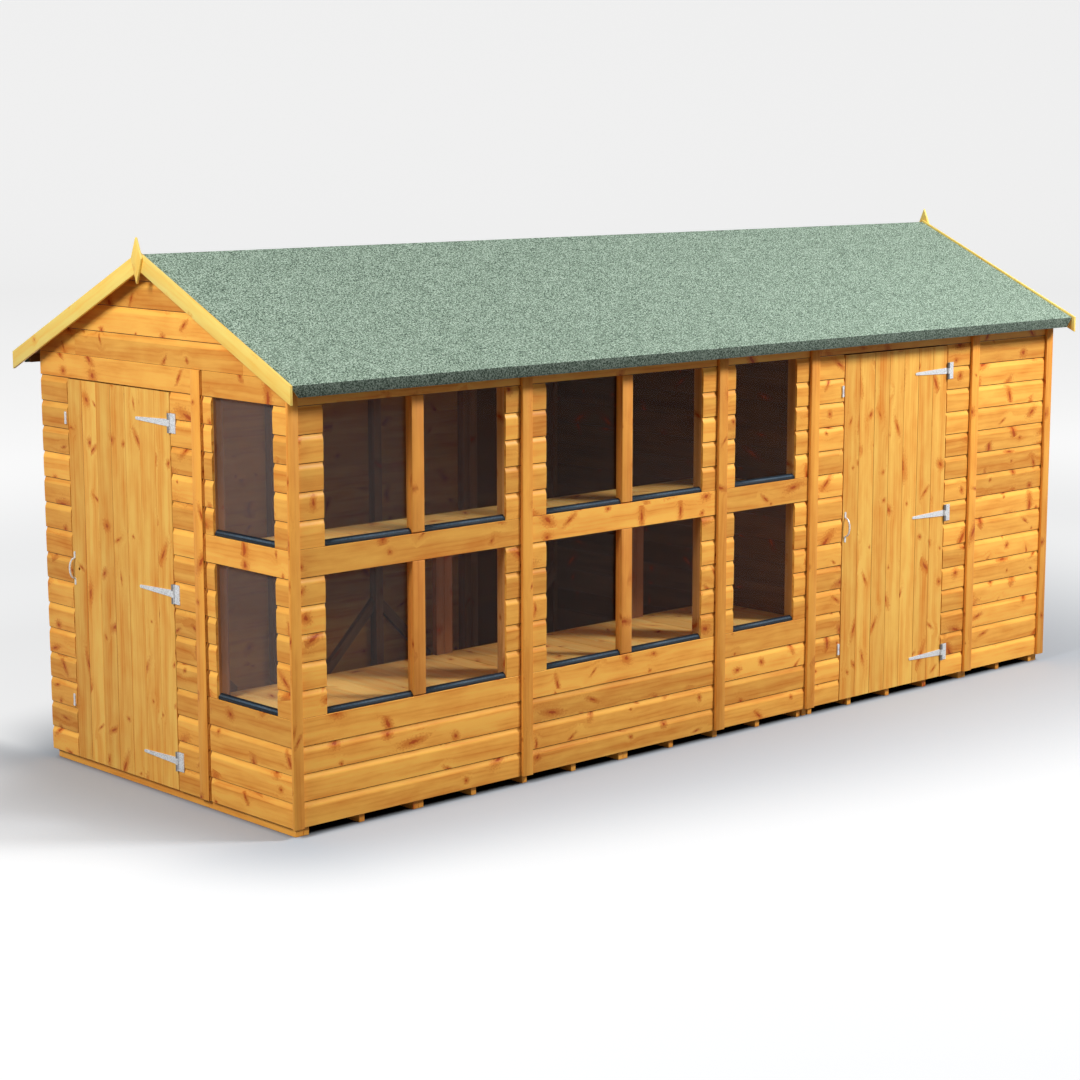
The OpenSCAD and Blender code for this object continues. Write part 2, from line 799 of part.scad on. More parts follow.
// Kite outline of a finial, about the ridge
shoulder_share = 0.46;
finial_tip = ridge_z + finial_rise;
finial_half = finial_w * half_share;
finial_side = finial_tip - finial_h * shoulder_share;
finial_points = [[mid_w, finial_tip], [mid_w - finial_half, finial_side],
    [mid_w, finial_tip - finial_h], [mid_w + finial_half, finial_side]];

module finials() {
    color(pine_trim) placed()
        for (x = [roof_x0 - barge_t - finial_t, roof_x1 + barge_t])
            run_x(x, x + finial_t, finial_points);
}

// Hinges are drawn for a door in the plane Y = 0 with its pin on the Z axis:
// the leaf lies towards -X and the wall plate towards +X
knuckle_h = plate_h / 3;
plate_edge = door_gap;
strap_edge = knuckle_r + knuckle_gap;

// Wall plate with the two outer knuckles and the pin
module hinge_plate() {
    face_y = pin_out - seat - iron_t;
    half = plate_h * half_share;
    inner = knuckle_h * half_share + knuckle_gap;
    difference() {
        union() {
            translate([plate_edge, face_y, -half])
                cube([plate_w, iron_t + seat, plate_h]);
            for (z = [[-half, -inner], [inner, half]]) {
                translate([0, face_y, z[0]])
                    cube([plate_edge + seat, iron_t, z[1] - z[0]]);
                translate([0, 0, z[0]])
                    cylinder(h = z[1] - z[0], r = knuckle_r, $fn = 48);
            }
        }
        translate([0, 0, -inner])
            cylinder(h = inner * 2, r = knuckle_r + knuckle_gap, $fn = 48);
    }
    translate([0, 0, -half])
        cylinder(h = plate_h, r = pin_r, $fn = 48);
}

// Tapered strap with the middle knuckle, bored for the pin
module hinge_strap() {
    face_y = pin_out - seat - iron_t;
    half = knuckle_h * half_share;
    tip_r = strap_tip_w * half_share;
    tip_x = tip_r - strap_edge - strap_l;
    difference() {
        union() {
            translate([0, face_y + iron_t + seat, 0])
                rotate([90, 0, 0])
                    linear_extrude(height = iron_t + seat)
                        polygon([[tip_x, -tip_r], [-strap_edge, -strap_w * half_share],
                            [-strap_edge, strap_w * half_share], [tip_x, tip_r]]);
            translate([tip_x, face_y + iron_t + seat, 0])
                rotate([90, 0, 0])
                    cylinder(h = iron_t + seat, r = tip_r, $fn = 48);
            translate([-strap_edge - seat, face_y, -half])
                cube([strap_edge + seat, iron_t, half * 2]);
            translate([0, 0, -half])
                cylinder(h = half * 2, r = knuckle_r, $fn = 48);
        }
        translate([0, 0, -half - seat])
            cylinder(h = half * 2 + seat * 2, r = pin_r + pin_gap, $fn = 48);
    }
}

// Bow handle on a door in the plane Y = 0, standing out towards -Y
module bow_handle() {
    half = handle_h * half_share;
    foot = handle_bar * 2;
    bend = handle_out - handle_bar;
    rotate([90, 0, 90])
        translate([0, 0, -handle_bar * half_share])
            linear_extrude(height = handle_bar)
                polygon([[0, -half], [0, -half + foot], [-bend, -half + foot + bend],
                    [-bend, half - foot - bend], [0, half - foot], [0, half],
                    [-handle_bar * half_share, half],
                    [-handle_out, half - foot - bend + handle_bar * half_share],
                    [-handle_out, -half + foot + bend - handle_bar * half_share],
                    [-handle_bar * half_share, -half]]);
}

// A leaf in the plane Y = 0, from X = 0 at its free edge to the hinge edge
module door_leaf() {
    difference() {
        translate([0, 0, leaf_z])
            cube([door_w, leaf_t, leaf_h]);
        translate([handle_inset + keyhole_step, -seat, handle_z + handle_h * half_share])
            rotate([-90, 0, 0])
                cylinder(h = leaf_t + seat * 2, r = keyhole_r, $fn = 48);
    }
}

// Ledges and braces on the back of a leaf
module door_ledges() {
    x0 = ledge_inset;
    x1 = door_w - ledge_inset;
    bottom = floor_z + stud_w;
    mid = leaf_z + leaf_h * half_share - ledge_w * half_share;
    top = leaf_top - stud_w * 2 - ledge_w;
    for (z = [bottom, mid, top])
        translate([x0, leaf_t, z])
            cube([x1 - x0, ledge_t, ledge_w]);
    for (z = [[bottom + ledge_w, mid], [mid + ledge_w, top]])
        translate([0, leaf_t, 0])
            rotate([90, 0, 0])
                translate([0, 0, -ledge_t])
                    linear_extrude(height = ledge_t)
                        polygon([[x1, z[0] + seat], [x0 + ledge_w, z[1] - seat], [x0, z[1] - seat],
                            [x1 - ledge_w, z[0] + seat]]);
}

// Straps and handle of a leaf
module door_ironwork() {
    for (z = hinge_zs)
        translate([door_w + door_gap * half_share, -pin_out, z])
            hinge_strap();
    translate([handle_inset, 0, handle_z + handle_h * half_share])
        bow_handle();
}

// Wall plates of the three hinges of a leaf
module door_plates() {
    for (z = hinge_zs)
        translate([door_w + door_gap * half_share, -pin_out, z])
            hinge_plate();
}

// Turn buttons on the wall beside the free edge of a leaf
module door_buttons() {
    for (z = button_zs)
        translate([-door_gap * 2 - button_w, -button_t, z - button_h * half_share])
            cube([button_w, button_t, button_h]);
}

// Puts what is drawn for a leaf at the front doorway
module at_front_door() {
    placed()
        translate([front_leaf_x, 0, 0])
            children();
}

// Puts what is drawn for a leaf at the gable doorway
module at_left_door() {
    placed()
        translate([0, left_leaf_end, 0])
            rotate([0, 0, -90])
                children();
}

module hinge_plates() {
    color(zinc) {
        at_front_door() door_plates();
        at_left_door() door_plates();
    }
}

module turn_buttons() {
    color(zinc) {
        at_front_door() door_buttons();
        at_left_door() door_buttons();
    }
}

module left_door_leaf() {
    color(pine_light) at_left_door() door_leaf();
}

module left_door_ledges() {
    color(pine_dark) at_left_door() door_ledges();
}

module left_door_ironwork() {
    color(zinc) at_left_door() door_ironwork();
}

module front_door_leaf() {
    color(pine_light) at_front_door() door_leaf();
}

module front_door_ledges() {
    color(pine_dark) at_front_door() door_ledges();
}

module front_door_ironwork() {
    color(zinc) at_front_door() door_ironwork();
}

floor_joists();
floor_boards();
front_window_panel_1();
front_window_panel_2();
front_window_panel_3();
front_door_side_left();
front_door_side_right();
front_door_header();
front_plain_panel();
front_frame();
rear_panels();
rear_frame();
left_door_side_rear();
left_door_side_front();
left_door_header();
left_window_panel();
left_gable_top();
left_frame();
right_panels();
right_gable_top();
right_frame();
partition();
corner_trims();
cover_strips();
window_mullions();
window_sills();
window_glass();
potting_shelves();
shelf_legs();
roof_boards_front();
roof_boards_rear();
roof_felt_front();
roof_felt_rear();
eave_fascias();
roof_purlins();
bargeboards();
finials();
hinge_plates();
turn_buttons();
left_door_leaf();
left_door_ledges();
left_door_ironwork();
front_door_leaf();
front_door_ledges();
front_door_ironwork();
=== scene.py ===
"""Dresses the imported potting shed: shiplap boards, felt, glazing, ironwork and a pale studio.

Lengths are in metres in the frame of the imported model, and colours are written as sRGB shares of 255.
"""

import logging
import math
import random
from collections.abc import Callable, Iterable, Sequence
from dataclasses import dataclass, field
from enum import Enum
from functools import cache
from typing import Any

import bmesh
import bpy
from bmesh.types import BMEdge, BMesh, BMFace, BMVert
from bpy.types import Material, Node, NodeSocket, NodeTree, Object
from mathutils import Matrix, Vector


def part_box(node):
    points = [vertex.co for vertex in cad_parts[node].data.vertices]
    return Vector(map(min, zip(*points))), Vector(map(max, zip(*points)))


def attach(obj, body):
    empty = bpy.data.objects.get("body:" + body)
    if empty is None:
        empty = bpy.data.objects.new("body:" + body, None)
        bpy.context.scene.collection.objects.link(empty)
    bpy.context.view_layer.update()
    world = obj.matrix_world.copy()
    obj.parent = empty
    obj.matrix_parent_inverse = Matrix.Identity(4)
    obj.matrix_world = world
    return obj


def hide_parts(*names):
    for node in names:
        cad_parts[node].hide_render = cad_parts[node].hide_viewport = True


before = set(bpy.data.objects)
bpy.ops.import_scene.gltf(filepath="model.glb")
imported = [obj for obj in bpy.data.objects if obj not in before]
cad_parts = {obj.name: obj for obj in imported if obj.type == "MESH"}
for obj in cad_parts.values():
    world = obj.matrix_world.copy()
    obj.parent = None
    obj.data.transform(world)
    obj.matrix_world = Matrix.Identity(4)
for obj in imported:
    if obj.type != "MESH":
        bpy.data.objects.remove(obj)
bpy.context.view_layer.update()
LOG = logging.getLogger("potting_shed")

Pair = tuple[float, float]
Triple = tuple[float, float, float]
Quad = tuple[float, float, float, float]

GRAIN = "grain"
# The face tone: random for each timber, and shifted by painted shade and painted highlights.
TONE = "tone"
WELD = 0.00001
FLAT_ANGLE = math.radians(0.5)
SHARP_ANGLE = math.radians(32.0)
UP = Vector((0.0, 0.0, 1.0))
OUTWARD = Matrix.Rotation(math.pi / 2, 4, "X")


class Body(str, Enum):
    """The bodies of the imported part."""

    SHED = "shed"
    LEFT_DOOR = "left_door"
    FRONT_DOOR = "front_door"


class Slot(str, Enum):
    """The record's material slots."""

    PINE = "pine"
    DOOR = "pine_door"
    TRIM = "pine_trim"
    PLAIN = "pine_plain"
    FRAME = "pine_frame"
    FELT = "felt"
    GLASS = "glass"
    SILL = "sill"
    ZINC = "zinc"


class Side(Enum):
    """A wall, as the direction of its run and the direction into the building."""

    FRONT = ((1.0, 0.0, 0.0), (0.0, 1.0, 0.0))
    LEFT = ((0.0, -1.0, 0.0), (1.0, 0.0, 0.0))
    REAR = ((-1.0, 0.0, 0.0), (0.0, -1.0, 0.0))
    RIGHT = ((0.0, 1.0, 0.0), (-1.0, 0.0, 0.0))

    @property
    def run(self) -> Vector:
        """The direction along the wall, to the right as seen from outside."""
        return Vector(self.value[0])

    @property
    def matrix(self) -> Matrix:
        """Turns the wall's own run, depth and height into the frame."""
        return Matrix((self.run, Vector(self.value[1]), UP)).transposed().to_4x4()


@dataclass(frozen=True)
class Block:
    """The box around one solid, by its lowest and highest corner."""

    low: Vector
    high: Vector

    @property
    def size(self) -> Vector:
        """The box's three extents."""
        return self.high - self.low

    @property
    def middle(self) -> Vector:
        """The box's middle."""
        return (self.low + self.high) / 2

    def on(self, side: Side) -> "Block":
        """The same box in a wall's own directions.

        Args:
            side: The wall.
        Returns:
            The box with X along the run, Y into the building and Z up.
        """
        turn = side.matrix.inverted()
        ends = (turn @ self.low, turn @ self.high)
        return Block(Vector(map(min, *ends)), Vector(map(max, *ends)))

    def between(self, axis: int, start: float, end: float) -> "Block":
        """The same box with other limits on one axis.

        Args:
            axis: The axis.
            start: Where the box starts on it.
            end: Where it ends.
        Returns:
            The new box.
        """
        low, high = self.low.copy(), self.high.copy()
        low[axis], high[axis] = start, end
        return Block(low, high)

    def boards(self, axis: int, count: int, gap: float) -> "list[Block]":
        """Splits the box into boards that lie side by side.

        Args:
            axis: Axis across the boards.
            count: Number of boards.
            gap: Joint between two boards.
        Returns:
            The box of each board.
        """
        pitch = self.size[axis] / count
        lines = [self.low[axis] + pitch * k for k in range(count + 1)]
        return [self.between(axis, start + gap / 2, end - gap / 2) for start, end in zip(lines, lines[1:])]


# Mesh tools


def only(items: Iterable[Any], kind: type) -> list[Any]:
    """The items of one kind in an operator's result."""
    return [item for item in items if isinstance(item, kind)]


def edges_at(verts: Iterable[BMVert]) -> list[BMEdge]:
    """The edges at some vertices, each once."""
    return list(dict.fromkeys(edge for vert in verts for edge in vert.link_edges))


def sharp_edges(mesh: BMesh) -> list[BMEdge]:
    """The edges at which a mesh turns clearly."""
    return [edge for edge in mesh.edges if edge.calc_face_angle(0.0) > SHARP_ANGLE]


def face_out(mesh: BMesh) -> None:
    """Turns the normals of a mesh outwards."""
    bmesh.ops.recalc_face_normals(mesh, faces=mesh.faces)


def islands(mesh: BMesh) -> list[list[BMVert]]:
    """Finds the separate solids of a mesh.

    Args:
        mesh: The mesh to look through.
    Returns:
        The vertices of each solid.
    """
    seen: set[BMVert] = set()
    groups = []
    for start in mesh.verts:
        if start in seen:
            continue
        seen.add(start)
        group, queue = [], [start]
        while queue:
            vert = queue.pop()
            group.append(vert)
            for other in (edge.other_vert(vert) for edge in vert.link_edges):
                if other not in seen:
                    seen.add(other)
                    queue.append(other)
        groups.append(group)
    return groups


def around(verts: Iterable[BMVert]) -> Block:
    """The box around some vertices."""
    axes = list(zip(*(vert.co for vert in verts)))
    return Block(Vector(map(min, axes)), Vector(map(max, axes)))


def cad_copy(node: str) -> BMesh:
    """Copies a CAD node's mesh with its doubles merged and its flat faces joined.

    Args:
        node: The node's name.
    Returns:
        The copy.
    """
    mesh = bmesh.new()
    mesh.from_mesh(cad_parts[node].data)
    bmesh.ops.remove_doubles(mesh, verts=mesh.verts, dist=WELD)
    bmesh.ops.dissolve_limit(mesh, angle_limit=FLAT_ANGLE, verts=mesh.verts, edges=mesh.edges)
    return mesh


def solids(node: str) -> list[Block]:
    """The boxes around the solids of a CAD node, from the lowest up.

    Args:
        node: The node's name.
    Returns:
        One box for each solid.
    """
    mesh = cad_copy(node)
    found = [around(group) for group in islands(mesh)]
    mesh.free()
    return sorted(found, key=lambda block: tuple(round(v, 4) for v in (block.low.z, *block.low.xy)))


def soften(mesh: BMesh, edges: Iterable[BMEdge], width: float, segments: int = 1) -> None:
    """Rounds or chamfers edges.

    Args:
        mesh: The mesh.
        edges: The edges to work on.
        width: Width of the bevel.
        segments: Steps across the bevel.
    """
    bmesh.ops.bevel(mesh, geom=list(edges), offset=width, offset_type="OFFSET", affect="EDGES",
                    segments=segments, profile=0.5, material=-1, clamp_overlap=True)


def slice_mesh(mesh: BMesh, spot: Vector, normal: Vector, clear: bool = False) -> list[BMEdge]:
    """Cuts a mesh along a plane.

    Args:
        mesh: The mesh.
        spot: A point of the plane.
        normal: The plane's normal.
        clear: Whether what lies on the normal's side goes.
    Returns:
        The edges along the cut.
    """
    everything = [*mesh.verts, *mesh.edges, *mesh.faces]
    cut = bmesh.ops.bisect_plane(mesh, geom=everything, dist=WELD, plane_co=spot, plane_no=normal,
                                 clear_outer=clear)
    return only(cut["geom_cut"], BMEdge)


def add_box(mesh: BMesh, block: Block) -> list[BMVert]:
    """Adds a box to a mesh.

    Args:
        mesh: The mesh to add to.
        block: The box.
    Returns:
        The box's vertices.
    """
    place = Matrix.Translation(block.middle) @ Matrix.Diagonal((*block.size, 1.0))
    return bmesh.ops.create_cube(mesh, size=1.0, matrix=place)["verts"]


def thicken(mesh: BMesh, faces: list[BMFace], shift: Sequence[float], keep: bool = False) -> None:
    """Extrudes faces into a solid.

    Args:
        mesh: The mesh.
        faces: The faces.
        shift: How far they go.
        keep: Whether the faces also stay where they are.
    """
    grown = bmesh.ops.extrude_face_region(mesh, geom=faces, use_keep_orig=keep)["geom"]
    bmesh.ops.translate(mesh, verts=only(grown, BMVert), vec=shift)


def add_prism(mesh: BMesh, outline: Sequence[Pair], start: float, end: float) -> None:
    """Adds a prism along X.

    Args:
        mesh: The mesh to add to.
        outline: Its outline as pairs of Y and Z.
        start: X at which it starts.
        end: X at which it ends.
    """
    face = mesh.faces.new([mesh.verts.new((start, *point)) for point in outline])
    thicken(mesh, [face], (end - start, 0.0, 0.0))


def set_tones(mesh: BMesh, tone_of: Callable[[BMFace], float]) -> None:
    """Writes a tone on each face of a mesh.

    Args:
        mesh: The mesh.
        tone_of: Gives a face's tone.
    """
    layer = mesh.faces.layers.float.new(TONE)
    for face in mesh.faces:
        face[layer] = tone_of(face)


def put(name: str, data: Any) -> Object:
    """Puts an object into the scene.

    Args:
        name: The object's name.
        data: Its mesh, lamp or camera.
    Returns:
        The object.
    """
    made = bpy.data.objects.new(name, data)
    bpy.context.scene.collection.objects.link(made)
    return made


def show(name: str, mesh: BMesh, material: Material) -> Object:
    """Makes a mesh an object of the scene.

    Args:
        name: The object's name.
        mesh: Its mesh, which is used up.
        material: Its material.
    Returns:
        The object.
    """
    data = bpy.data.meshes.new(name)
    mesh.to_mesh(data)
    mesh.free()
    data.shade_smooth()
    data.set_sharp_from_angle(angle=SHARP_ANGLE)
    data.materials.append(material)
    return put(name, data)


class Joinery:
    """A mesh of timbers, with grain coordinates and a tone for each timber."""

    shift_range: float = 40.0
    side_dot: float = 0.5
    end_dot: float = 0.7

    def __init__(self, seed: str, mesh: BMesh | None = None) -> None:
        """Starts the mesh.

        Args:
            seed: Seeds the random draws.
            mesh: A mesh to go on from.
        """
        self.mesh = mesh or bmesh.new()
        self.draw = random.Random(seed)

    def grow_grain(self, along: Vector | None = None) -> None:
        """Gives each separate timber its own grain and tone.

        Args:
            along: Direction of the grain, or None for each timber's longest edge.
        """
        face_out(self.mesh)
        self.mesh.normal_update()
        grain = self.mesh.loops.layers.uv.new(GRAIN)
        tone = self.mesh.faces.layers.float.new(TONE)
        for group in islands(self.mesh):
            faces = list(dict.fromkeys(face for vert in group for face in vert.link_faces))
            ends = max(edges_at(group), key=lambda edge: edge.calc_length()).verts
            length = along or (ends[1].co - ends[0].co).normalized()
            flat = max((face for face in faces if abs(face.normal.dot(length)) < self.side_dot),
                       key=lambda face: face.calc_area())
            thick = flat.normal.copy()
            width = thick.cross(length)
            shift = (self.draw.uniform(0.0, self.shift_range), self.draw.uniform(0.0, self.shift_range))
            value = self.draw.random()
            for face in faces:
                face[tone] = value
                if abs(face.normal.dot(length)) > self.end_dot:
                    axes = (thick, width)
                elif abs(face.normal.dot(thick)) >= abs(face.normal.dot(width)):
                    axes = (length, width)
                else:
                    axes = (length, thick)
                for loop in face.loops:
                    spot = loop.vert.co
                    loop[grain].uv = (spot.dot(axes[0]) + shift[0], spot.dot(axes[1]) + shift[1])

    def tint(self, faces: Iterable[BMFace], change: float, keep: float = 1.0) -> None:
        """Shifts the tone of some faces.

        Args:
            faces: The faces.
            change: The shift; a tone below zero is darker.
            keep: Share of the timbers' own tones that stays.
        """
        tone = self.mesh.faces.layers.float[TONE]
        for face in faces:
            face[tone] = face[tone] * keep + change


# Shader tools


def srgb(red: float, green: float, blue: float) -> Quad:
    """A colour written as sRGB shares of 255, made linear.

    Args:
        red: Red share.
        green: Green share.
        blue: Blue share.
    Returns:
        The linear colour with an alpha of one.
    """
    shares = (value / 255 for value in (red, green, blue))
    linear = (v / 12.92 if v <= 0.04045 else ((v + 0.055) / 1.055) ** 2.4 for v in shares)
    return (*linear, 1.0)


class Socket(str, Enum):
    """Kinds of sockets on a node group."""

    NUMBER = "NodeSocketFloat"
    VECTOR = "NodeSocketVector"
    COLOR = "NodeSocketColor"


class Sketch:
    """Adds and joins the nodes of one shader tree."""

    def __init__(self, tree: NodeTree) -> None:
        """Starts on a tree."""
        self.tree = tree

    def feed(self, made: Node, inputs: dict[Any, Any]) -> None:
        """Feeds a node's inputs.

        Args:
            made: The node.
            inputs: What feeds its inputs: sockets or plain values.
        """
        for name, value in inputs.items():
            if isinstance(value, NodeSocket):
                self.tree.links.new(value, made.inputs[name])
            else:
                made.inputs[name].default_value = value

    def node(self, kind: str, inputs: dict[Any, Any] | None = None, **settings: Any) -> Node:
        """Adds a node.

        Args:
            kind: The node's type.
            inputs: What feeds its inputs: sockets or plain values.
            settings: The node's own settings.
        Returns:
            The node.
        """
        made = self.tree.nodes.new(kind)
        for name, value in settings.items():
            setattr(made, name, value)
        self.feed(made, inputs or {})
        return made

    def math(self, operation: str, *terms: Any) -> NodeSocket:
        """The result of a Math node on some terms."""
        return self.node("ShaderNodeMath", dict(enumerate(terms)), operation=operation).outputs[0]

    def plus(self, first: Any, second: Any) -> NodeSocket:
        """The sum of two numbers."""
        return self.math("ADD", first, second)

    def minus(self, first: Any, second: Any) -> NodeSocket:
        """The difference of two numbers."""
        return self.math("SUBTRACT", first, second)

    def times(self, first: Any, second: Any) -> NodeSocket:
        """The product of two numbers."""
        return self.math("MULTIPLY", first, second)

    def line(self, value: Any, slope: Any, level: Any) -> NodeSocket:
        """A value times a slope, plus a level."""
        return self.math("MULTIPLY_ADD", value, slope, level)

    def most(self, first: Any, second: Any) -> NodeSocket:
        """The larger of two numbers."""
        return self.math("MAXIMUM", first, second)

    def vector(self, operation: str, *terms: Any) -> NodeSocket:
        """The result of a Vector Math node on some terms."""
        return self.node("ShaderNodeVectorMath", dict(enumerate(terms)), operation=operation).outputs[0]

    def length(self, vector: Any) -> NodeSocket:
        """The length of a vector."""
        return self.node("ShaderNodeVectorMath", {0: vector}, operation="LENGTH").outputs["Value"]

    def stretch(self, vector: Any, *scale: float) -> NodeSocket:
        """A vector times a scale for each axis."""
        return self.vector("MULTIPLY", vector, scale)

    def split(self, vector: Any) -> Sequence[NodeSocket]:
        """The three parts of a vector."""
        return self.node("ShaderNodeSeparateXYZ", {0: vector}).outputs

    def flat(self, along: Any, across: Any) -> NodeSocket:
        """A vector with two parts and no third."""
        return self.node("ShaderNodeCombineXYZ", {0: along, 1: across}).outputs[0]

    def place(self) -> NodeSocket:
        """The place on the object."""
        return self.node("ShaderNodeTexCoord").outputs["Object"]

    def tone(self) -> NodeSocket:
        """The tone that a face carries."""
        return self.node("ShaderNodeAttribute", attribute_name=TONE).outputs["Fac"]

    def noise(self, vector: Any, rates: Sequence[float], detail: float = 2.0) -> NodeSocket:
        """A noise value, with a rate for each axis."""
        inputs = {"Vector": self.stretch(vector, *rates), "Scale": 1.0, "Detail": detail}
        return self.node("ShaderNodeTexNoise", inputs).outputs[0]

    def step(self, value: Any, start: Any, end: Any, low: float = 0.0, high: float = 1.0) -> NodeSocket:
        """A smooth step of a value from a start to an end."""
        inputs = {"Value": value, "From Min": start, "From Max": end, "To Min": low, "To Max": high}
        return self.node("ShaderNodeMapRange", inputs, interpolation_type="SMOOTHSTEP").outputs[0]

    def blend(self, share: Any, first: Any, second: Any) -> NodeSocket:
        """A colour between two others."""
        return self.node("ShaderNodeMix", {0: share, 6: first, 7: second}, data_type="RGBA").outputs[2]

    def dim(self, color: Any, value: Any) -> NodeSocket:
        """A colour made darker or lighter."""
        return self.node("ShaderNodeHueSaturation", {"Value": value, "Color": color}).outputs[0]

    def bump(self, height: Any, strength: float, depth: float) -> NodeSocket:
        """A normal that follows a height."""
        inputs = {"Strength": strength, "Distance": depth, "Height": height}
        return self.node("ShaderNodeBump", inputs).outputs[0]


def new_group(name: str, takes: dict[str, Socket], gives: dict[str, Socket]) -> tuple[Sketch, Any, Node]:
    """Starts a shader node group.

    Args:
        name: The group's name.
        takes: Its inputs.
        gives: Its outputs.
    Returns:
        A sketch of the group, its inputs as sockets, and its output node.
    """
    tree = bpy.data.node_groups.new(name, "ShaderNodeTree")
    for way, sockets in (("INPUT", takes), ("OUTPUT", gives)):
        for label, kind in sockets.items():
            tree.interface.new_socket(name=label, in_out=way, socket_type=kind.value)
    sketch = Sketch(tree)
    return sketch, sketch.node("NodeGroupInput").outputs, sketch.node("NodeGroupOutput")


@dataclass(frozen=True)
class Finish:
    """A finish, which makes one material."""

    name: str

    def inputs(self, sketch: Sketch) -> dict[str, Any]:
        """What feeds the inputs of the material's Principled shader."""
        raise NotImplementedError

    @cache
    def material(self) -> Material:
        """Builds the material once.

        Returns:
            The material.
        """
        made = bpy.data.materials.new(self.name)
        made.use_nodes = True
        sketch = Sketch(made.node_tree)
        sketch.feed(made.node_tree.nodes["Principled BSDF"], self.inputs(sketch))
        return made


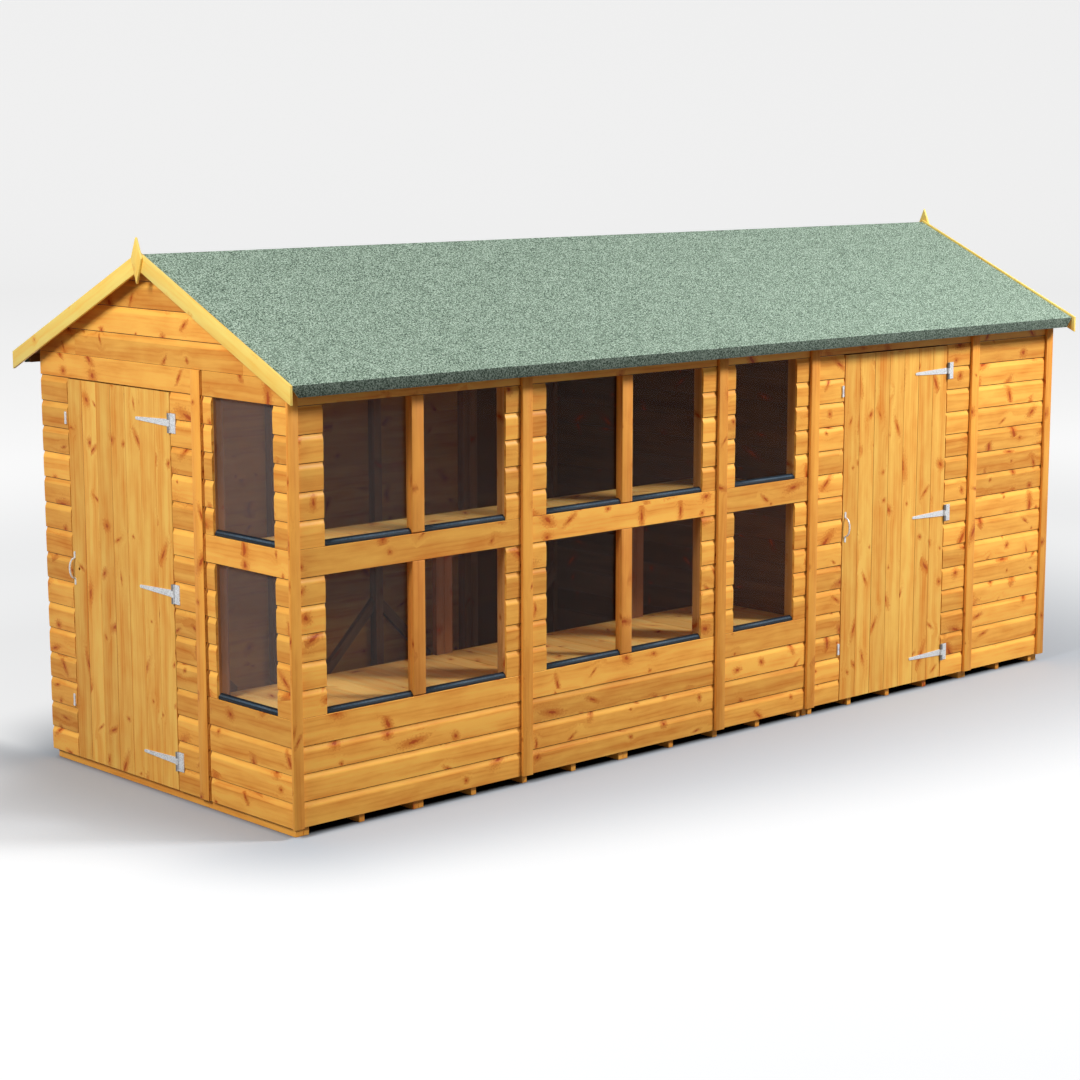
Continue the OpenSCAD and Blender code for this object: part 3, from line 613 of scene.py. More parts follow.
@dataclass(frozen=True)
class PineGrain:
    """The shader group that draws pine along a timber's grain coordinates."""

    name: str = "pine_grain"
    knot_run: float = 0.2
    knot_row: float = 0.085
    knot_scatter: float = 0.95
    fork_above: float = 0.86
    lean_middle: float = 0.45
    lean_range: float = 2.9
    slant: Quad = (0.2, 0.6, 0.85, 0.26)
    ragged_rates: Triple = (90.0, 120.0, 0.0)
    ragged: Pair = (1.7, 0.15)
    size_draw: float = 9.0
    size_power: float = 1.6
    knot_size: Pair = (0.0072, 0.0026)
    core_span: Pair = (1.2, 0.55)
    stain_span: Pair = (4.2, 0.8)
    bend_span: Pair = (0.045, 0.004)
    bend: float = -0.75
    drift_rates: Triple = (1.7, 7.0, 0.0)
    drift: float = 0.035
    ring_rate: float = 55.0
    ring_power: float = 3.0
    ring_span: Quad = (0.35, 0.7, 0.1, 0.6)
    ring_share: float = 0.38
    broad_rates: Triple = (1.6, 24.0, 0.0)
    broad_span: Pair = (0.25, 0.75)
    broad_share: float = 0.55
    fibre_rates: Triple = (14.0, 420.0, 0.0)
    fibre_share: float = 0.36
    cloud_rates: Triple = (7.0, 17.0, 0.0)
    cloud_share: float = 0.85
    tone_share: float = -0.2
    stain_late: float = 0.75
    stain_knot: float = 0.26
    core_knot: float = 0.9
    shade_and_joint_span: Pair = (0.0, -1.2)
    rough: Pair = (0.16, 0.42)
    fibre_height: float = 0.5
    core_dip: float = 0.6

    def knots(self, sketch: Sketch, place: NodeSocket, share: NodeSocket) -> tuple[NodeSocket, ...]:
        """Scatters knots: round ones, forked ones and slanting ones cut at an angle.

        Args:
            sketch: The group's sketch.
            place: Grain coordinates.
            share: Share of the cells that hold a knot.
        Returns:
            Masks of the knots and of the stain around them, and how the grain bends aside.
        """
        cells = sketch.stretch(place, 1 / self.knot_run, 1 / self.knot_row, 0.0)
        inputs = {"Vector": cells, "Scale": 1.0, "Randomness": self.knot_scatter}
        dots = sketch.node("ShaderNodeTexVoronoi", inputs, voronoi_dimensions="2D").outputs
        off = sketch.vector("SUBTRACT", cells, dots["Position"])
        along, across, _ = sketch.split(sketch.stretch(off, self.knot_run, self.knot_row, 0.0))
        chance = sketch.node("ShaderNodeSeparateColor", {0: dots["Color"]}).outputs
        fork = sketch.math("GREATER_THAN", chance[2], self.fork_above)
        folded = sketch.times(sketch.math("ABSOLUTE", across), fork)
        plain = sketch.times(across, sketch.minus(1.0, fork))
        lean = sketch.times(sketch.minus(chance[2], self.lean_middle), self.lean_range)
        inputs = {"Vector": sketch.flat(along, sketch.plus(folded, plain)), "Angle": lean}
        turned = sketch.node("ShaderNodeVectorRotate", inputs, rotation_type="Z_AXIS").outputs[0]
        arms = sketch.split(turned)
        oval = sketch.flat(sketch.times(arms[0], sketch.step(chance[1], *self.slant)), arms[1])
        ragged = sketch.line(sketch.noise(place, self.ragged_rates), *self.ragged)
        far = sketch.times(sketch.length(oval), ragged)
        there = sketch.math("LESS_THAN", chance[0], share)
        draw = sketch.math("FRACT", sketch.times(chance[0], self.size_draw))
        radius = sketch.line(sketch.math("POWER", draw, self.size_power), *self.knot_size)
        core, stain = (sketch.step(far, *(sketch.times(radius, reach) for reach in span))
                       for span in (self.core_span, self.stain_span))
        bend = sketch.times(sketch.times(across, sketch.step(far, *self.bend_span)), self.bend)
        return tuple(sketch.times(value, there) for value in (core, stain, bend))

    @cache
    def group(self) -> NodeTree:
        """Builds the group once.

        Returns:
            The group, which takes grain coordinates, a tone and colours.
        """
        sketch, takes, gives = new_group(
            self.name,
            {"Grain": Socket.VECTOR, "Tone": Socket.NUMBER, "Early": Socket.COLOR, "Late": Socket.COLOR,
             "Knot": Socket.COLOR, "Shade And Joint": Socket.COLOR, "Knots": Socket.NUMBER, "Spread": Socket.NUMBER},
            {"Color": Socket.COLOR, "Roughness": Socket.NUMBER, "Height": Socket.NUMBER})
        place, tone = takes["Grain"], takes["Tone"]
        core, stain, bend = self.knots(sketch, place, takes["Knots"])
        along, across, _ = sketch.split(place)
        drift = sketch.times(sketch.noise(place, self.drift_rates), self.drift)
        across = sketch.plus(sketch.plus(across, bend), drift)
        bent = sketch.flat(along, across)
        broad = sketch.noise(bent, self.broad_rates, 3.0)
        fibre = sketch.noise(bent, self.fibre_rates)
        cloud = sketch.noise(bent, self.cloud_rates, 3.0)
        wave = sketch.math("SINE", sketch.times(across, self.ring_rate * math.tau))
        ring = sketch.math("POWER", sketch.line(wave, 0.5, 0.5), self.ring_power)
        rings = sketch.times(ring, sketch.step(broad, *self.ring_span))
        mixed = sketch.plus(sketch.times(sketch.step(broad, *self.broad_span), self.broad_share),
                            sketch.times(rings, self.ring_share))
        for value, share in ((fibre, self.fibre_share), (cloud, self.cloud_share), (tone, self.tone_share)):
            mixed = sketch.plus(mixed, sketch.times(sketch.minus(value, 0.5), share))
        mixed = sketch.math("MINIMUM", sketch.most(mixed, 0.0), 1.0)
        color = sketch.blend(mixed, takes["Early"], takes["Late"])
        for mask, share, label in ((stain, self.stain_late, "Late"), (stain, self.stain_knot, "Knot"),
                                   (core, self.core_knot, "Knot")):
            color = sketch.blend(sketch.times(mask, share), color, takes[label])
        # The tone lightens or darkens each timber by its random tone and any painted highlight; below zero it
        # blends towards the colour of painted shade and dark joints.
        tone_and_highlight = sketch.minus(sketch.most(tone, 0.0), 0.5)
        color = sketch.dim(color, sketch.line(tone_and_highlight, takes["Spread"], 1.0))
        color = sketch.blend(sketch.step(tone, *self.shade_and_joint_span), color, takes["Shade And Joint"])
        height = sketch.minus(sketch.line(fibre, self.fibre_height, rings), sketch.times(core, self.core_dip))
        sketch.feed(gives, {"Color": color, "Roughness": sketch.line(mixed, *self.rough), "Height": height})
        return sketch.tree


@dataclass(frozen=True)
class PineFinish(Finish):
    """Stained pine with its grain, rings and knots."""

    early: Triple
    late: Triple
    knot: Triple = (178, 70, 10)
    # The colour that tones below zero blend towards: painted shade in the laps, on inside faces, posts and
    # the keyhole, and the doors' dark V-joints.
    shade_and_joint: Triple = (108, 63, 34)
    knots: float = 0.52
    spread: float = 0.3
    relief: float = 0.35
    depth: float = 0.0006
    sheen: float = 0.25

    def inputs(self, sketch: Sketch) -> dict[str, Any]:
        """Draws the wood.

        Args:
            sketch: The material's sketch.
        Returns:
            What feeds the shader.
        """
        drawn = {"Grain": sketch.node("ShaderNodeUVMap", uv_map=GRAIN).outputs[0], "Tone": sketch.tone(),
                 "Early": srgb(*self.early), "Late": srgb(*self.late), "Knot": srgb(*self.knot),
                 "Shade And Joint": srgb(*self.shade_and_joint), "Knots": self.knots, "Spread": self.spread}
        wood = sketch.node("ShaderNodeGroup", drawn, node_tree=PineGrain().group()).outputs
        return {"Base Color": wood["Color"], "Roughness": wood["Roughness"], "Specular IOR Level": self.sheen,
                "Normal": sketch.bump(wood["Height"], self.relief, self.depth)}


@dataclass(frozen=True)
class Flecks:
    """The shader group for grit, spangle and other fine flecks."""

    name: str = "fine_flecks"
    fine_detail: float = 1.5
    broad_detail: float = 2.0
    broad_rate: float = 0.11
    broad_share: float = 0.1
    mid_span: Pair = (0.36, 0.52)
    pale_span: Pair = (0.5, 0.66)

    @cache
    def group(self) -> NodeTree:
        """Builds the group once.

        Returns:
            The group, which takes a rate of flecks and three colours.
        """
        sketch, takes, gives = new_group(
            self.name,
            {"Rate": Socket.NUMBER, "Dark": Socket.COLOR, "Mid": Socket.COLOR, "Pale": Socket.COLOR},
            {"Color": Socket.COLOR, "Height": Socket.NUMBER})
        place = sketch.place()
        fine, broad = (
            sketch.node("ShaderNodeTexNoise", {"Vector": place, "Scale": rate, "Detail": detail}).outputs[0]
            for rate, detail in ((takes["Rate"], self.fine_detail),
                                 (sketch.times(takes["Rate"], self.broad_rate), self.broad_detail)))
        level = sketch.plus(fine, sketch.times(sketch.minus(broad, 0.5), self.broad_share))
        color = sketch.blend(sketch.step(level, *self.mid_span), takes["Dark"], takes["Mid"])
        color = sketch.blend(sketch.step(level, *self.pale_span), color, takes["Pale"])
        sketch.feed(gives, {"Color": color, "Height": level})
        return sketch.tree


@dataclass(frozen=True)
class FleckFinish(Finish):
    """A finish of fine flecks: mineral felt, slate-coloured plastic or zinc."""

    dark: Triple
    mid: Triple
    pale: Triple
    rate: float
    roughness: float
    metallic: float = 0.0
    relief: float = 0.3
    depth: float = 0.001
    sheen: float = 0.5

    def inputs(self, sketch: Sketch) -> dict[str, Any]:
        """Draws the flecks.

        Args:
            sketch: The material's sketch.
        Returns:
            What feeds the shader.
        """
        drawn = {"Rate": self.rate, "Dark": srgb(*self.dark), "Mid": srgb(*self.mid),
                 "Pale": srgb(*self.pale)}
        flecks = sketch.node("ShaderNodeGroup", drawn, node_tree=Flecks().group()).outputs
        # The face tone dims or lightens the flecks: painted shade on the felt's eave faces and the hinge
        # knuckles, and a painted highlight on the sill beads.
        return {"Base Color": sketch.dim(flecks["Color"], sketch.tone()), "Roughness": self.roughness,
                "Metallic": self.metallic, "Specular IOR Level": self.sheen,
                "Normal": sketch.bump(flecks["Height"], self.relief, self.depth)}


@dataclass(frozen=True)
class GlassFinish(Finish):
    """Clear styrene glazing with a faint smoky film."""

    name: str = "glazing"
    film: Triple = (46, 24, 14)
    film_left: Triple = (102, 115, 114)
    film_span: Pair = (-1.3, -2.05)
    gable_film: Triple = (150, 134, 126)
    gable_span: Pair = (0.1, 0.02)
    dust_rates: Triple = (3.0, 3.0, 9.0)
    dust: float = 0.04
    haze: float = 0.045
    gable_haze: float = 0.06
    roughness: float = 0.05
    sheen: float = 1.0

    def inputs(self, sketch: Sketch) -> dict[str, Any]:
        """Draws the film and its dust.

        Args:
            sketch: The material's sketch.
        Returns:
            What feeds the shader.
        """
        place = sketch.place()
        run = sketch.split(place)[0]
        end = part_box("window_glass")[0].x
        # The gable panes get a paler film and more haze than the front ones, and the front film turns greyer
        # towards the left end.
        gable = sketch.step(run, *(end + reach for reach in self.gable_span))
        film = sketch.blend(sketch.step(run, *self.film_span), srgb(*self.film), srgb(*self.film_left))
        film = sketch.blend(gable, film, srgb(*self.gable_film))
        veil = sketch.line(sketch.noise(place, self.dust_rates, 3.0), self.dust, self.haze)
        veil = sketch.line(gable, self.gable_haze, veil)
        return {"Base Color": film, "Alpha": veil, "Roughness": self.roughness,
                "Specular IOR Level": self.sheen}


@dataclass(frozen=True)
class PaperFinish(Finish):
    """Studio paper: pale with a faint glow to the eye, and greyer as a source of bounced light, with a
    painted contact shadow around the shed's foot and painted near-black shade beneath the shed.
    """

    name: str = "studio_paper"
    wall: Triple = (228, 228, 228)
    near: Triple = (191, 198, 206)
    middle: Triple = (147, 149, 151)
    bounce: Triple = (118, 118, 118)
    # Painted shade: the near-black paper beneath the shed.
    under: Triple = (16, 16, 18)
    roughness: float = 0.95
    contact: float = 0.04
    glow: float = 0.7
    # How far the painted contact shadow reaches: longer towards the right end and beside the gable, shorter
    # behind the rear left corner.
    reach: float = 0.85
    run_shadow_gain: float = 0.4
    gable_shadow_gain: float = 0.8
    gable_run: Pair = (0.0, -0.2)
    gable_depth: Pair = (-0.8, 0.2)
    corner_shadow_gain: float = -0.45
    corner_run: Pair = (0.3, -0.1)
    corner_start: Pair = (0.3, 0.85)
    corner_end: Pair = (1.8, 0.95)
    wall_span: Pair = (4.0, 9.0)

    def inputs(self, sketch: Sketch) -> dict[str, Any]:
        """Draws the paper's painted contact shadow around the foot of the shed and the painted shade beneath
        it.

        Args:
            sketch: The material's sketch.
        Returns:
            What feeds the shader.
        """
        path = sketch.node("ShaderNodeLightPath").outputs
        seen = sketch.most(path["Is Camera Ray"],
                           sketch.most(path["Is Glossy Ray"], path["Is Transmission Ray"]))
        place = sketch.place()
        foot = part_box("floor_joists")[1]
        rim = (foot.x - self.contact, foot.y - self.contact, 0.0)
        away = sketch.vector("SUBTRACT", sketch.vector("ABSOLUTE", place), rim)
        away = sketch.length(sketch.vector("MAXIMUM", away, (0.0, 0.0, 0.0)))
        # Painted shade: beneath the shed the paper is near-black, with a soft rim.
        past_under_shade = sketch.step(away, 0.0, self.contact * 2)
        away = sketch.most(sketch.minus(away, self.contact), 0.0)
        along, depth, _ = sketch.split(place)
        run = sketch.plus(along, foot.x)
        beside = sketch.times(sketch.step(run, *self.gable_run), sketch.step(depth, *self.gable_depth))
        corner = sketch.times(sketch.step(depth, *self.corner_start), sketch.step(depth, *self.corner_end))
        corner = sketch.times(corner, sketch.step(run, *self.corner_run))
        reach = sketch.line(beside, self.gable_shadow_gain, 1.0)
        reach = sketch.line(sketch.most(run, 0.0), self.run_shadow_gain, reach)
        reach = sketch.times(reach, sketch.line(corner, self.corner_shadow_gain, 1.0))
        # Painted contact shadow: near the shed the paper keeps its near colour and gets no glow, so it stays
        # darker than further out, where the middle colour and the glow take over; the lamps' shadows fall on
        # it as well.
        clear = sketch.step(sketch.math("DIVIDE", away, reach), 0.0, self.reach)
        color = sketch.blend(clear, srgb(*self.near), srgb(*self.middle))
        color = sketch.blend(sketch.step(away, *self.wall_span), color, srgb(*self.wall))
        color = sketch.blend(past_under_shade, srgb(*self.under), color)
        glow = sketch.times(sketch.times(seen, clear), self.glow)
        return {"Base Color": sketch.blend(seen, srgb(*self.bounce), color), "Roughness": self.roughness,
                "Specular IOR Level": 0.0, "Emission Color": srgb(255, 255, 255), "Emission Strength": glow}


CLADDING = PineFinish("shiplap_pine", (255, 188, 84), (220, 122, 36), spread=0.28)
DOOR_PINE = PineFinish("door_pine", (255, 200, 96), (232, 134, 40), knot=(186, 80, 16), shade_and_joint=(150, 84, 28),
                       knots=0.46, spread=0.14)
TRIM_PINE = PineFinish("trim_pine", (252, 178, 76), (220, 128, 42), knots=0.34, spread=0.18)
MULLION_PINE = PineFinish("mullion_pine", (246, 168, 74), (212, 120, 44), knots=0.3, spread=0.14)
BARGE_PINE = PineFinish("barge_pine", (255, 226, 122), (255, 192, 76), knot=(210, 120, 38), knots=0.36,
                        spread=0.1)
SHELF_PINE = PineFinish("shelf_pine", (255, 210, 120), (252, 170, 72), knots=0.44, spread=0.24)
REVEAL_PINE = PineFinish("reveal_pine", (222, 162, 96), (184, 120, 62), knots=0.4, spread=0.2)
# Painted shade: a darker copy of the pine for the timbers inside the shed, on the doors' inner faces and
# under the roof.
SHADED_INNER_PINE = PineFinish("shaded_inner_pine", (164, 108, 66), (124, 77, 42), knots=0.4, spread=0.24)
SHADED_PINE = PineFinish("shaded_pine", (122, 78, 44), (92, 55, 29), knots=0.4, spread=0.24)
FELT = FleckFinish("mineral_felt", (62, 80, 67), (136, 159, 139), (190, 208, 191), rate=175.0, roughness=0.95,
                   relief=0.5, depth=0.0015)
SLATE = FleckFinish("slate_plastic", (22, 30, 38), (30, 40, 48), (38, 48, 56), rate=240.0, roughness=0.5,
                    relief=0.08, sheen=0.2)
ZINC = FleckFinish("bright_zinc", (208, 210, 212), (232, 234, 236), (246, 248, 250), rate=190.0,
                   roughness=0.42, metallic=0.25, relief=0.1, depth=0.0003)
GLAZING = GlassFinish()
PAPER = PaperFinish()


def piece(name: str, mesh: BMesh, finish: Finish, node: str, body: Body = Body.SHED) -> None:
    """Makes a finished mesh a piece of the part.

    Args:
        name: The piece's name.
        mesh: Its mesh, which is used up.
        finish: Its finish.
        node: The CAD node that it stands for.
        body: The body that it rides on.
    """
    made = show(name, mesh, finish.material())
    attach(made, body.value)
    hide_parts(node)
    LOG.info("%s: %d faces", name, len(made.data.polygons))


def timber(node: str, finish: PineFinish, body: Body = Body.SHED, edge: float = 0.0015,
           segments: int = 1) -> None:
    """Dresses a CAD node's timbers as they are, with eased edges.

    Args:
        node: The node.
        finish: The finish.
        body: The body that it rides on.
        edge: Width of the eased edges.
        segments: Steps across an eased edge.
    """
    work = Joinery(node, cad_copy(node))
    soften(work.mesh, sharp_edges(work.mesh), edge, segments)
    work.grow_grain()
    piece(f"{node}_timber", work.mesh, finish, node, body)


@dataclass
class Planking:
    """Slabs that are boarded side by side, and the plain timbers among them."""

    name: str
    node: str
    finish: PineFinish
    slot: Slot
    axis: int
    width: float
    edge: float
    gap: float = 0.0004
    along: Vector | None = None
    plain_below: float = 0.0

    def build(self) -> None:
        """Lays the boards; a timber that is slim both ways stays whole."""
        work = Joinery(self.node)
        for block in solids(self.node):
            slab = sorted(block.size)[1] > self.plain_below
            count = max(1, round(block.size[self.axis] / self.width)) if slab else 1
            for board in block.boards(self.axis, count, self.gap if slab else 0.0):
                add_box(work.mesh, board)
        soften(work.mesh, work.mesh.edges[:], self.edge)
        work.grow_grain(self.along)
        piece(self.name, work.mesh, self.finish, self.node)


# Walls


@dataclass
class Cladding:
    """Shiplap boards on the wall slabs and gable tops."""

    nosing: float = 0.0012
    crown: float = 0.0014
    crown_points: tuple[Pair, ...] = ((0.3, 0.3), (0.0, 0.6))
    cove_depth: float = 0.0066
    cove_height: float = 0.026
    cove_lap: float = 0.0022
    cove_steps: int = 6
    thinnest: float = 0.03
    square_from: float = 0.3
    wobble: float = 0.0022
    lap_dot: float = 0.3
    lap_depth: float = 0.995
    lap_shade_tone: float = -2.2
    hollow_dot: Pair = (0.1, 0.9)
    hollow_highlight_tone: float = 0.5
    inner_dot: float = 0.9
    inner_shade_tone: float = -0.78
    inner_shade_fall: float = -0.45
    inner_shade_limit: float = -1.3
    inner_shade_keep: float = 0.12
    window_courses: int = 11
    gable_butts: tuple[float, ...] = (0.0, 0.16, 0.84, 1.0)
    butt_gap: float = 0.0008
    walls: dict[Side, tuple[str, ...]] = field(default_factory=lambda: {
        Side.FRONT: ("front_window_panel_1", "front_window_panel_2", "front_window_panel_3",
                     "front_door_side_left", "front_door_side_right", "front_door_header",
                     "front_plain_panel"),
        Side.REAR: ("rear_panels",),
        Side.LEFT: ("left_door_side_rear", "left_door_side_front", "left_door_header", "left_window_panel"),
        Side.RIGHT: ("right_panels",)})
    gables: dict[Side, str] = field(default_factory=lambda: {
        Side.LEFT: "left_gable_top", Side.RIGHT: "right_gable_top"})

    def __post_init__(self) -> None:
        """Reads the board courses from the sills and the door head."""
        self.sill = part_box("window_sills")[0].z
        self.pitch = (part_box("front_door_header")[0].z - self.sill) / self.window_courses

    def courses(self, block: Block, start: float) -> list[Pair]:
        """Splits the height of a slab into board courses.

        Args:
            block: The slab.
            start: A height at which some course starts.
        Returns:
            Foot and head of each course.
        """
        low, high = block.low.z, block.high.z
        line = start + (math.floor((low - start) / self.pitch) + 1) * self.pitch
        lines = [low]
        while line < high - self.thinnest:
            if line > low + self.thinnest:
                lines.append(line)
            line += self.pitch
        return list(zip(lines, [*lines[1:], high]))

    def board(self, mesh: BMesh, block: Block, coved: bool) -> None:
        """Adds one board in its wall's own directions.

        Args:
            mesh: The mesh to add to.
            block: The room for the board.
            coved: Whether its top is hollowed for the lip of the next board.
        """
        face, back = block.low.y, block.high.y
        foot, head = block.low.z, block.high.z
        outline = [(back, foot)]
        if coved:
            base, top = head - self.cove_height, head - self.cove_lap
            outline += [(face + self.crown + self.nosing, foot), (face + self.crown, foot + self.nosing)]
            outline += [(face + self.crown * depth, foot + (base - foot) * rise)
                        for depth, rise in self.crown_points]
            for k in range(self.cove_steps + 1):
                share = k / self.cove_steps
                outline.append((face + self.cove_depth * (1 - math.cos(math.pi * share)) / 2,
                                base + (top - base) * share))
            outline.append((face + self.cove_depth, head))
        else:
            outline += [(face + self.nosing, foot), (face, foot + self.nosing),
                        (face, head - self.nosing), (face + self.nosing, head)]
        add_prism(mesh, [*outline, (back, head)], block.low.x, block.high.x)

    def shade(self, work: Joinery, side: Side, face_y: float) -> None:
        """Paints shade into the laps and onto the inside faces, darker towards the right end, and paints a
        highlight on the hollows below the laps.

        Args:
            work: The boards.
            side: The wall that they are on.
            face_y: Depth of the boards' faces in the wall's own directions.
        """
        turn = side.matrix.inverted()
        lap_y = face_y + self.cove_depth * self.lap_depth
        for face in work.mesh.faces:
            spot = face.calc_center_median()
            way = turn @ face.normal
            # Painted shade in the laps: the undersides of the lips and the top of each hollow under the next
            # lip.
            if way.z < -self.lap_dot or (way.y < -self.lap_dot and (turn @ spot).y > lap_y):
                work.tint([face], self.lap_shade_tone)
            # Painted highlight on the lower, upward-facing part of each hollow.
            if way.y < -self.hollow_dot[0] and self.hollow_dot[0] < way.z < self.hollow_dot[1]:
                work.tint([face], self.hollow_highlight_tone)
            # Painted shade on the inside faces, darker towards the right end.
            if way.y > self.inner_dot:
                tone = max(self.inner_shade_tone + self.inner_shade_fall * spot.x, self.inner_shade_limit)
                work.tint([face], tone, self.inner_shade_keep)

    def hang(self, work: Joinery, node: str, side: Side, face_y: float) -> None:
        """Puts finished boards on their wall.

        Args:
            work: The boards, in the wall's own directions.
            node: The node that they stand for.
            side: The wall.
            face_y: Depth of the boards' faces.
        """
        bmesh.ops.transform(work.mesh, matrix=side.matrix, verts=work.mesh.verts)
        work.grow_grain(side.run)
        self.shade(work, side, face_y)
        piece(f"{node}_boards", work.mesh, CLADDING, node)

    def clad(self, node: str, side: Side) -> None:
        """Clads the slabs of one node.

        Args:
            node: The node.
            side: The wall that it is on.
        """
        work = Joinery(node)
        blocks = [solid.on(side) for solid in solids(node)]
        for block in blocks:
            wide = block.size.x > self.square_from
            wobble = self.wobble if "window" in node and not wide else 0.0
            rows = self.courses(block, self.sill)
            for row in rows:
                start, end = (work.draw.uniform(0.0, wobble) for _ in range(2))
                room = block.between(0, block.low.x + start, block.high.x - end).between(2, *row)
                self.board(work.mesh, room, coved=not (wide and row == rows[-1]))
        self.hang(work, node, side, blocks[-1].low.y)

    def gable(self, node: str, side: Side) -> None:
        """Clads a gable top and cuts its boards to the roof's slopes.

        Args:
            node: The node.
            side: The wall that it is on.
        """
        work = Joinery(node)
        block = solids(node)[0].on(side)
        rows = self.courses(block, block.low.z)
        for row in rows:
            butts = self.gable_butts if row == rows[0] else (0.0, 1.0)
            ends = [block.low.x + block.size.x * share for share in butts]
            for start, end in zip(ends, ends[1:]):
                room = block.between(0, start + self.butt_gap / 2, end - self.butt_gap / 2).between(2, *row)
                self.board(work.mesh, room, coved=True)
        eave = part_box("front_plain_panel")[1].z
        for sign in (-1.0, 1.0):
            rim = Vector((block.middle.x + sign * block.size.x / 2, 0.0, eave))
            out = Vector((sign * (block.high.z - eave), 0.0, block.size.x / 2)).normalized()
            bmesh.ops.holes_fill(work.mesh, edges=slice_mesh(work.mesh, rim, out, clear=True))
        self.hang(work, node, side, block.low.y)

    def build(self) -> None:
        """Clads all the walls and gable tops."""
        for side, nodes in self.walls.items():
            for node in nodes:
                self.clad(node, side)
        for side, node in self.gables.items():
            self.gable(node, side)


@dataclass
class WallFrames:
    """Studs, rails and the partition, which show through the panes and doorways."""

    glazed: str = "front_frame"
    blind: tuple[str, ...] = ("left_frame", "rear_frame", "right_frame")
    board_w: float = 0.11
    edge: float = 0.002

    def build(self) -> None:
        """Dresses the frames and boards the partition."""
        timber(self.glazed, REVEAL_PINE)
        for node in self.blind:
            timber(node, SHADED_INNER_PINE)
        Planking("partition_boards", "partition", SHADED_PINE, Slot.FRAME, 2, self.board_w, self.edge,
                 plain_below=self.board_w).build()


@dataclass
class Trims:
    """Corner trims, joint strips and mullions."""

    edge: float = 0.0025
    segments: int = 2
    proud: float = 0.003
    foot: float = 0.005
    post_shade_tone: float = -0.45

    def mullions(self) -> None:
        """Dresses the mullion posts and puts a facing strip on each, just proud of the boards."""
        node = "window_mullions"
        work = Joinery(node, cad_copy(node))
        face_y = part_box("front_window_panel_1")[0].y - self.proud
        for block in solids(node):
            strip = block.between(1, face_y, block.low.y)
            add_box(work.mesh, strip.between(2, block.low.z + self.foot, block.high.z))
        face_out(work.mesh)
        soften(work.mesh, sharp_edges(work.mesh), self.edge, self.segments)
        work.grow_grain()
        # Painted shade on the posts behind the facings.
        post_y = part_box(node)[0].y + self.edge
        posts = [face for face in work.mesh.faces if face.calc_center_median().y > post_y]
        work.tint(posts, self.post_shade_tone)
        piece(f"{node}_timber", work.mesh, MULLION_PINE, node)

    def build(self) -> None:
        """Dresses the trims."""
        for node in ("corner_trims", "cover_strips"):
            timber(node, TRIM_PINE, edge=self.edge, segments=self.segments)
        self.mullions()


@dataclass
class Glazing:
    """Panes and the slate-coloured sills under them."""

    sill_edge: float = 0.0014
    sill_segments: int = 2
    pane_edge: float = 0.0006
    slope: Pair = (0.3, 0.95)
    bead: Pair = (0.0122, 0.0182)
    bead_out: float = 0.0012
    bead_highlight_tone: float = 5.0

    def sills(self) -> None:
        """Dresses the sills and raises a bead along their slopes, with a painted highlight on it."""
        mesh = cad_copy("window_sills")
        soften(mesh, sharp_edges(mesh), self.sill_edge, self.sill_segments)
        feet = sorted({round(block.low.z, 4) for block in solids("window_sills")})
        spans = [(foot + self.bead[0], foot + self.bead[1]) for foot in feet]
        for height in (height for span in spans for height in span):
            slice_mesh(mesh, UP * height, UP)
        least, most = self.slope

        def on_bead(face: BMFace) -> bool:
            """Whether a face lies on the slope, at the height of the bead."""
            height, slope = face.calc_center_median().z, face.normal.z
            return least < slope < most and any(low < height < high for low, high in spans)

        mesh.normal_update()
        strips = [face for face in mesh.faces if on_bead(face)]
        for face in bmesh.ops.extrude_discrete_faces(mesh, faces=strips)["faces"]:
            bmesh.ops.translate(mesh, verts=face.verts, vec=face.normal * self.bead_out)
        mesh.normal_update()
        # Painted highlight on the bead.
        set_tones(mesh, lambda face: self.bead_highlight_tone if on_bead(face) else 1.0)
        piece("window_sills_dressed", mesh, SLATE, "window_sills")

    def build(self) -> None:
        """Dresses the sills and the panes."""
        self.sills()
        panes = cad_copy("window_glass")
        soften(panes, sharp_edges(panes), self.pane_edge)
        piece("window_panes", panes, GLAZING, "window_glass")


@dataclass
class Base:
    """Joists and the boarded floor."""

    board_w: float = 0.115
    edge: float = 0.0015

    def build(self) -> None:
        """Dresses the joists and lays the floor boards along the building."""
        timber("floor_joists", TRIM_PINE, edge=self.edge)
        Planking("floor_planks", "floor_boards", SHELF_PINE, Slot.PLAIN, 1, self.board_w, self.edge,
                 along=Side.FRONT.run).build()


@dataclass
class Shelving:
    """Two tiers of shelves with boards from front to rear, on legs."""

    board_w: float = 0.112
    gap: float = 0.0012
    edge: float = 0.0018

    def build(self) -> None:
        """Boards the shelves and dresses the legs."""
        Planking("shelf_boards", "potting_shelves", SHELF_PINE, Slot.PLAIN, 0, self.board_w, self.edge,
                 self.gap, Side.RIGHT.run).build()
        timber("shelf_legs", SHADED_INNER_PINE)


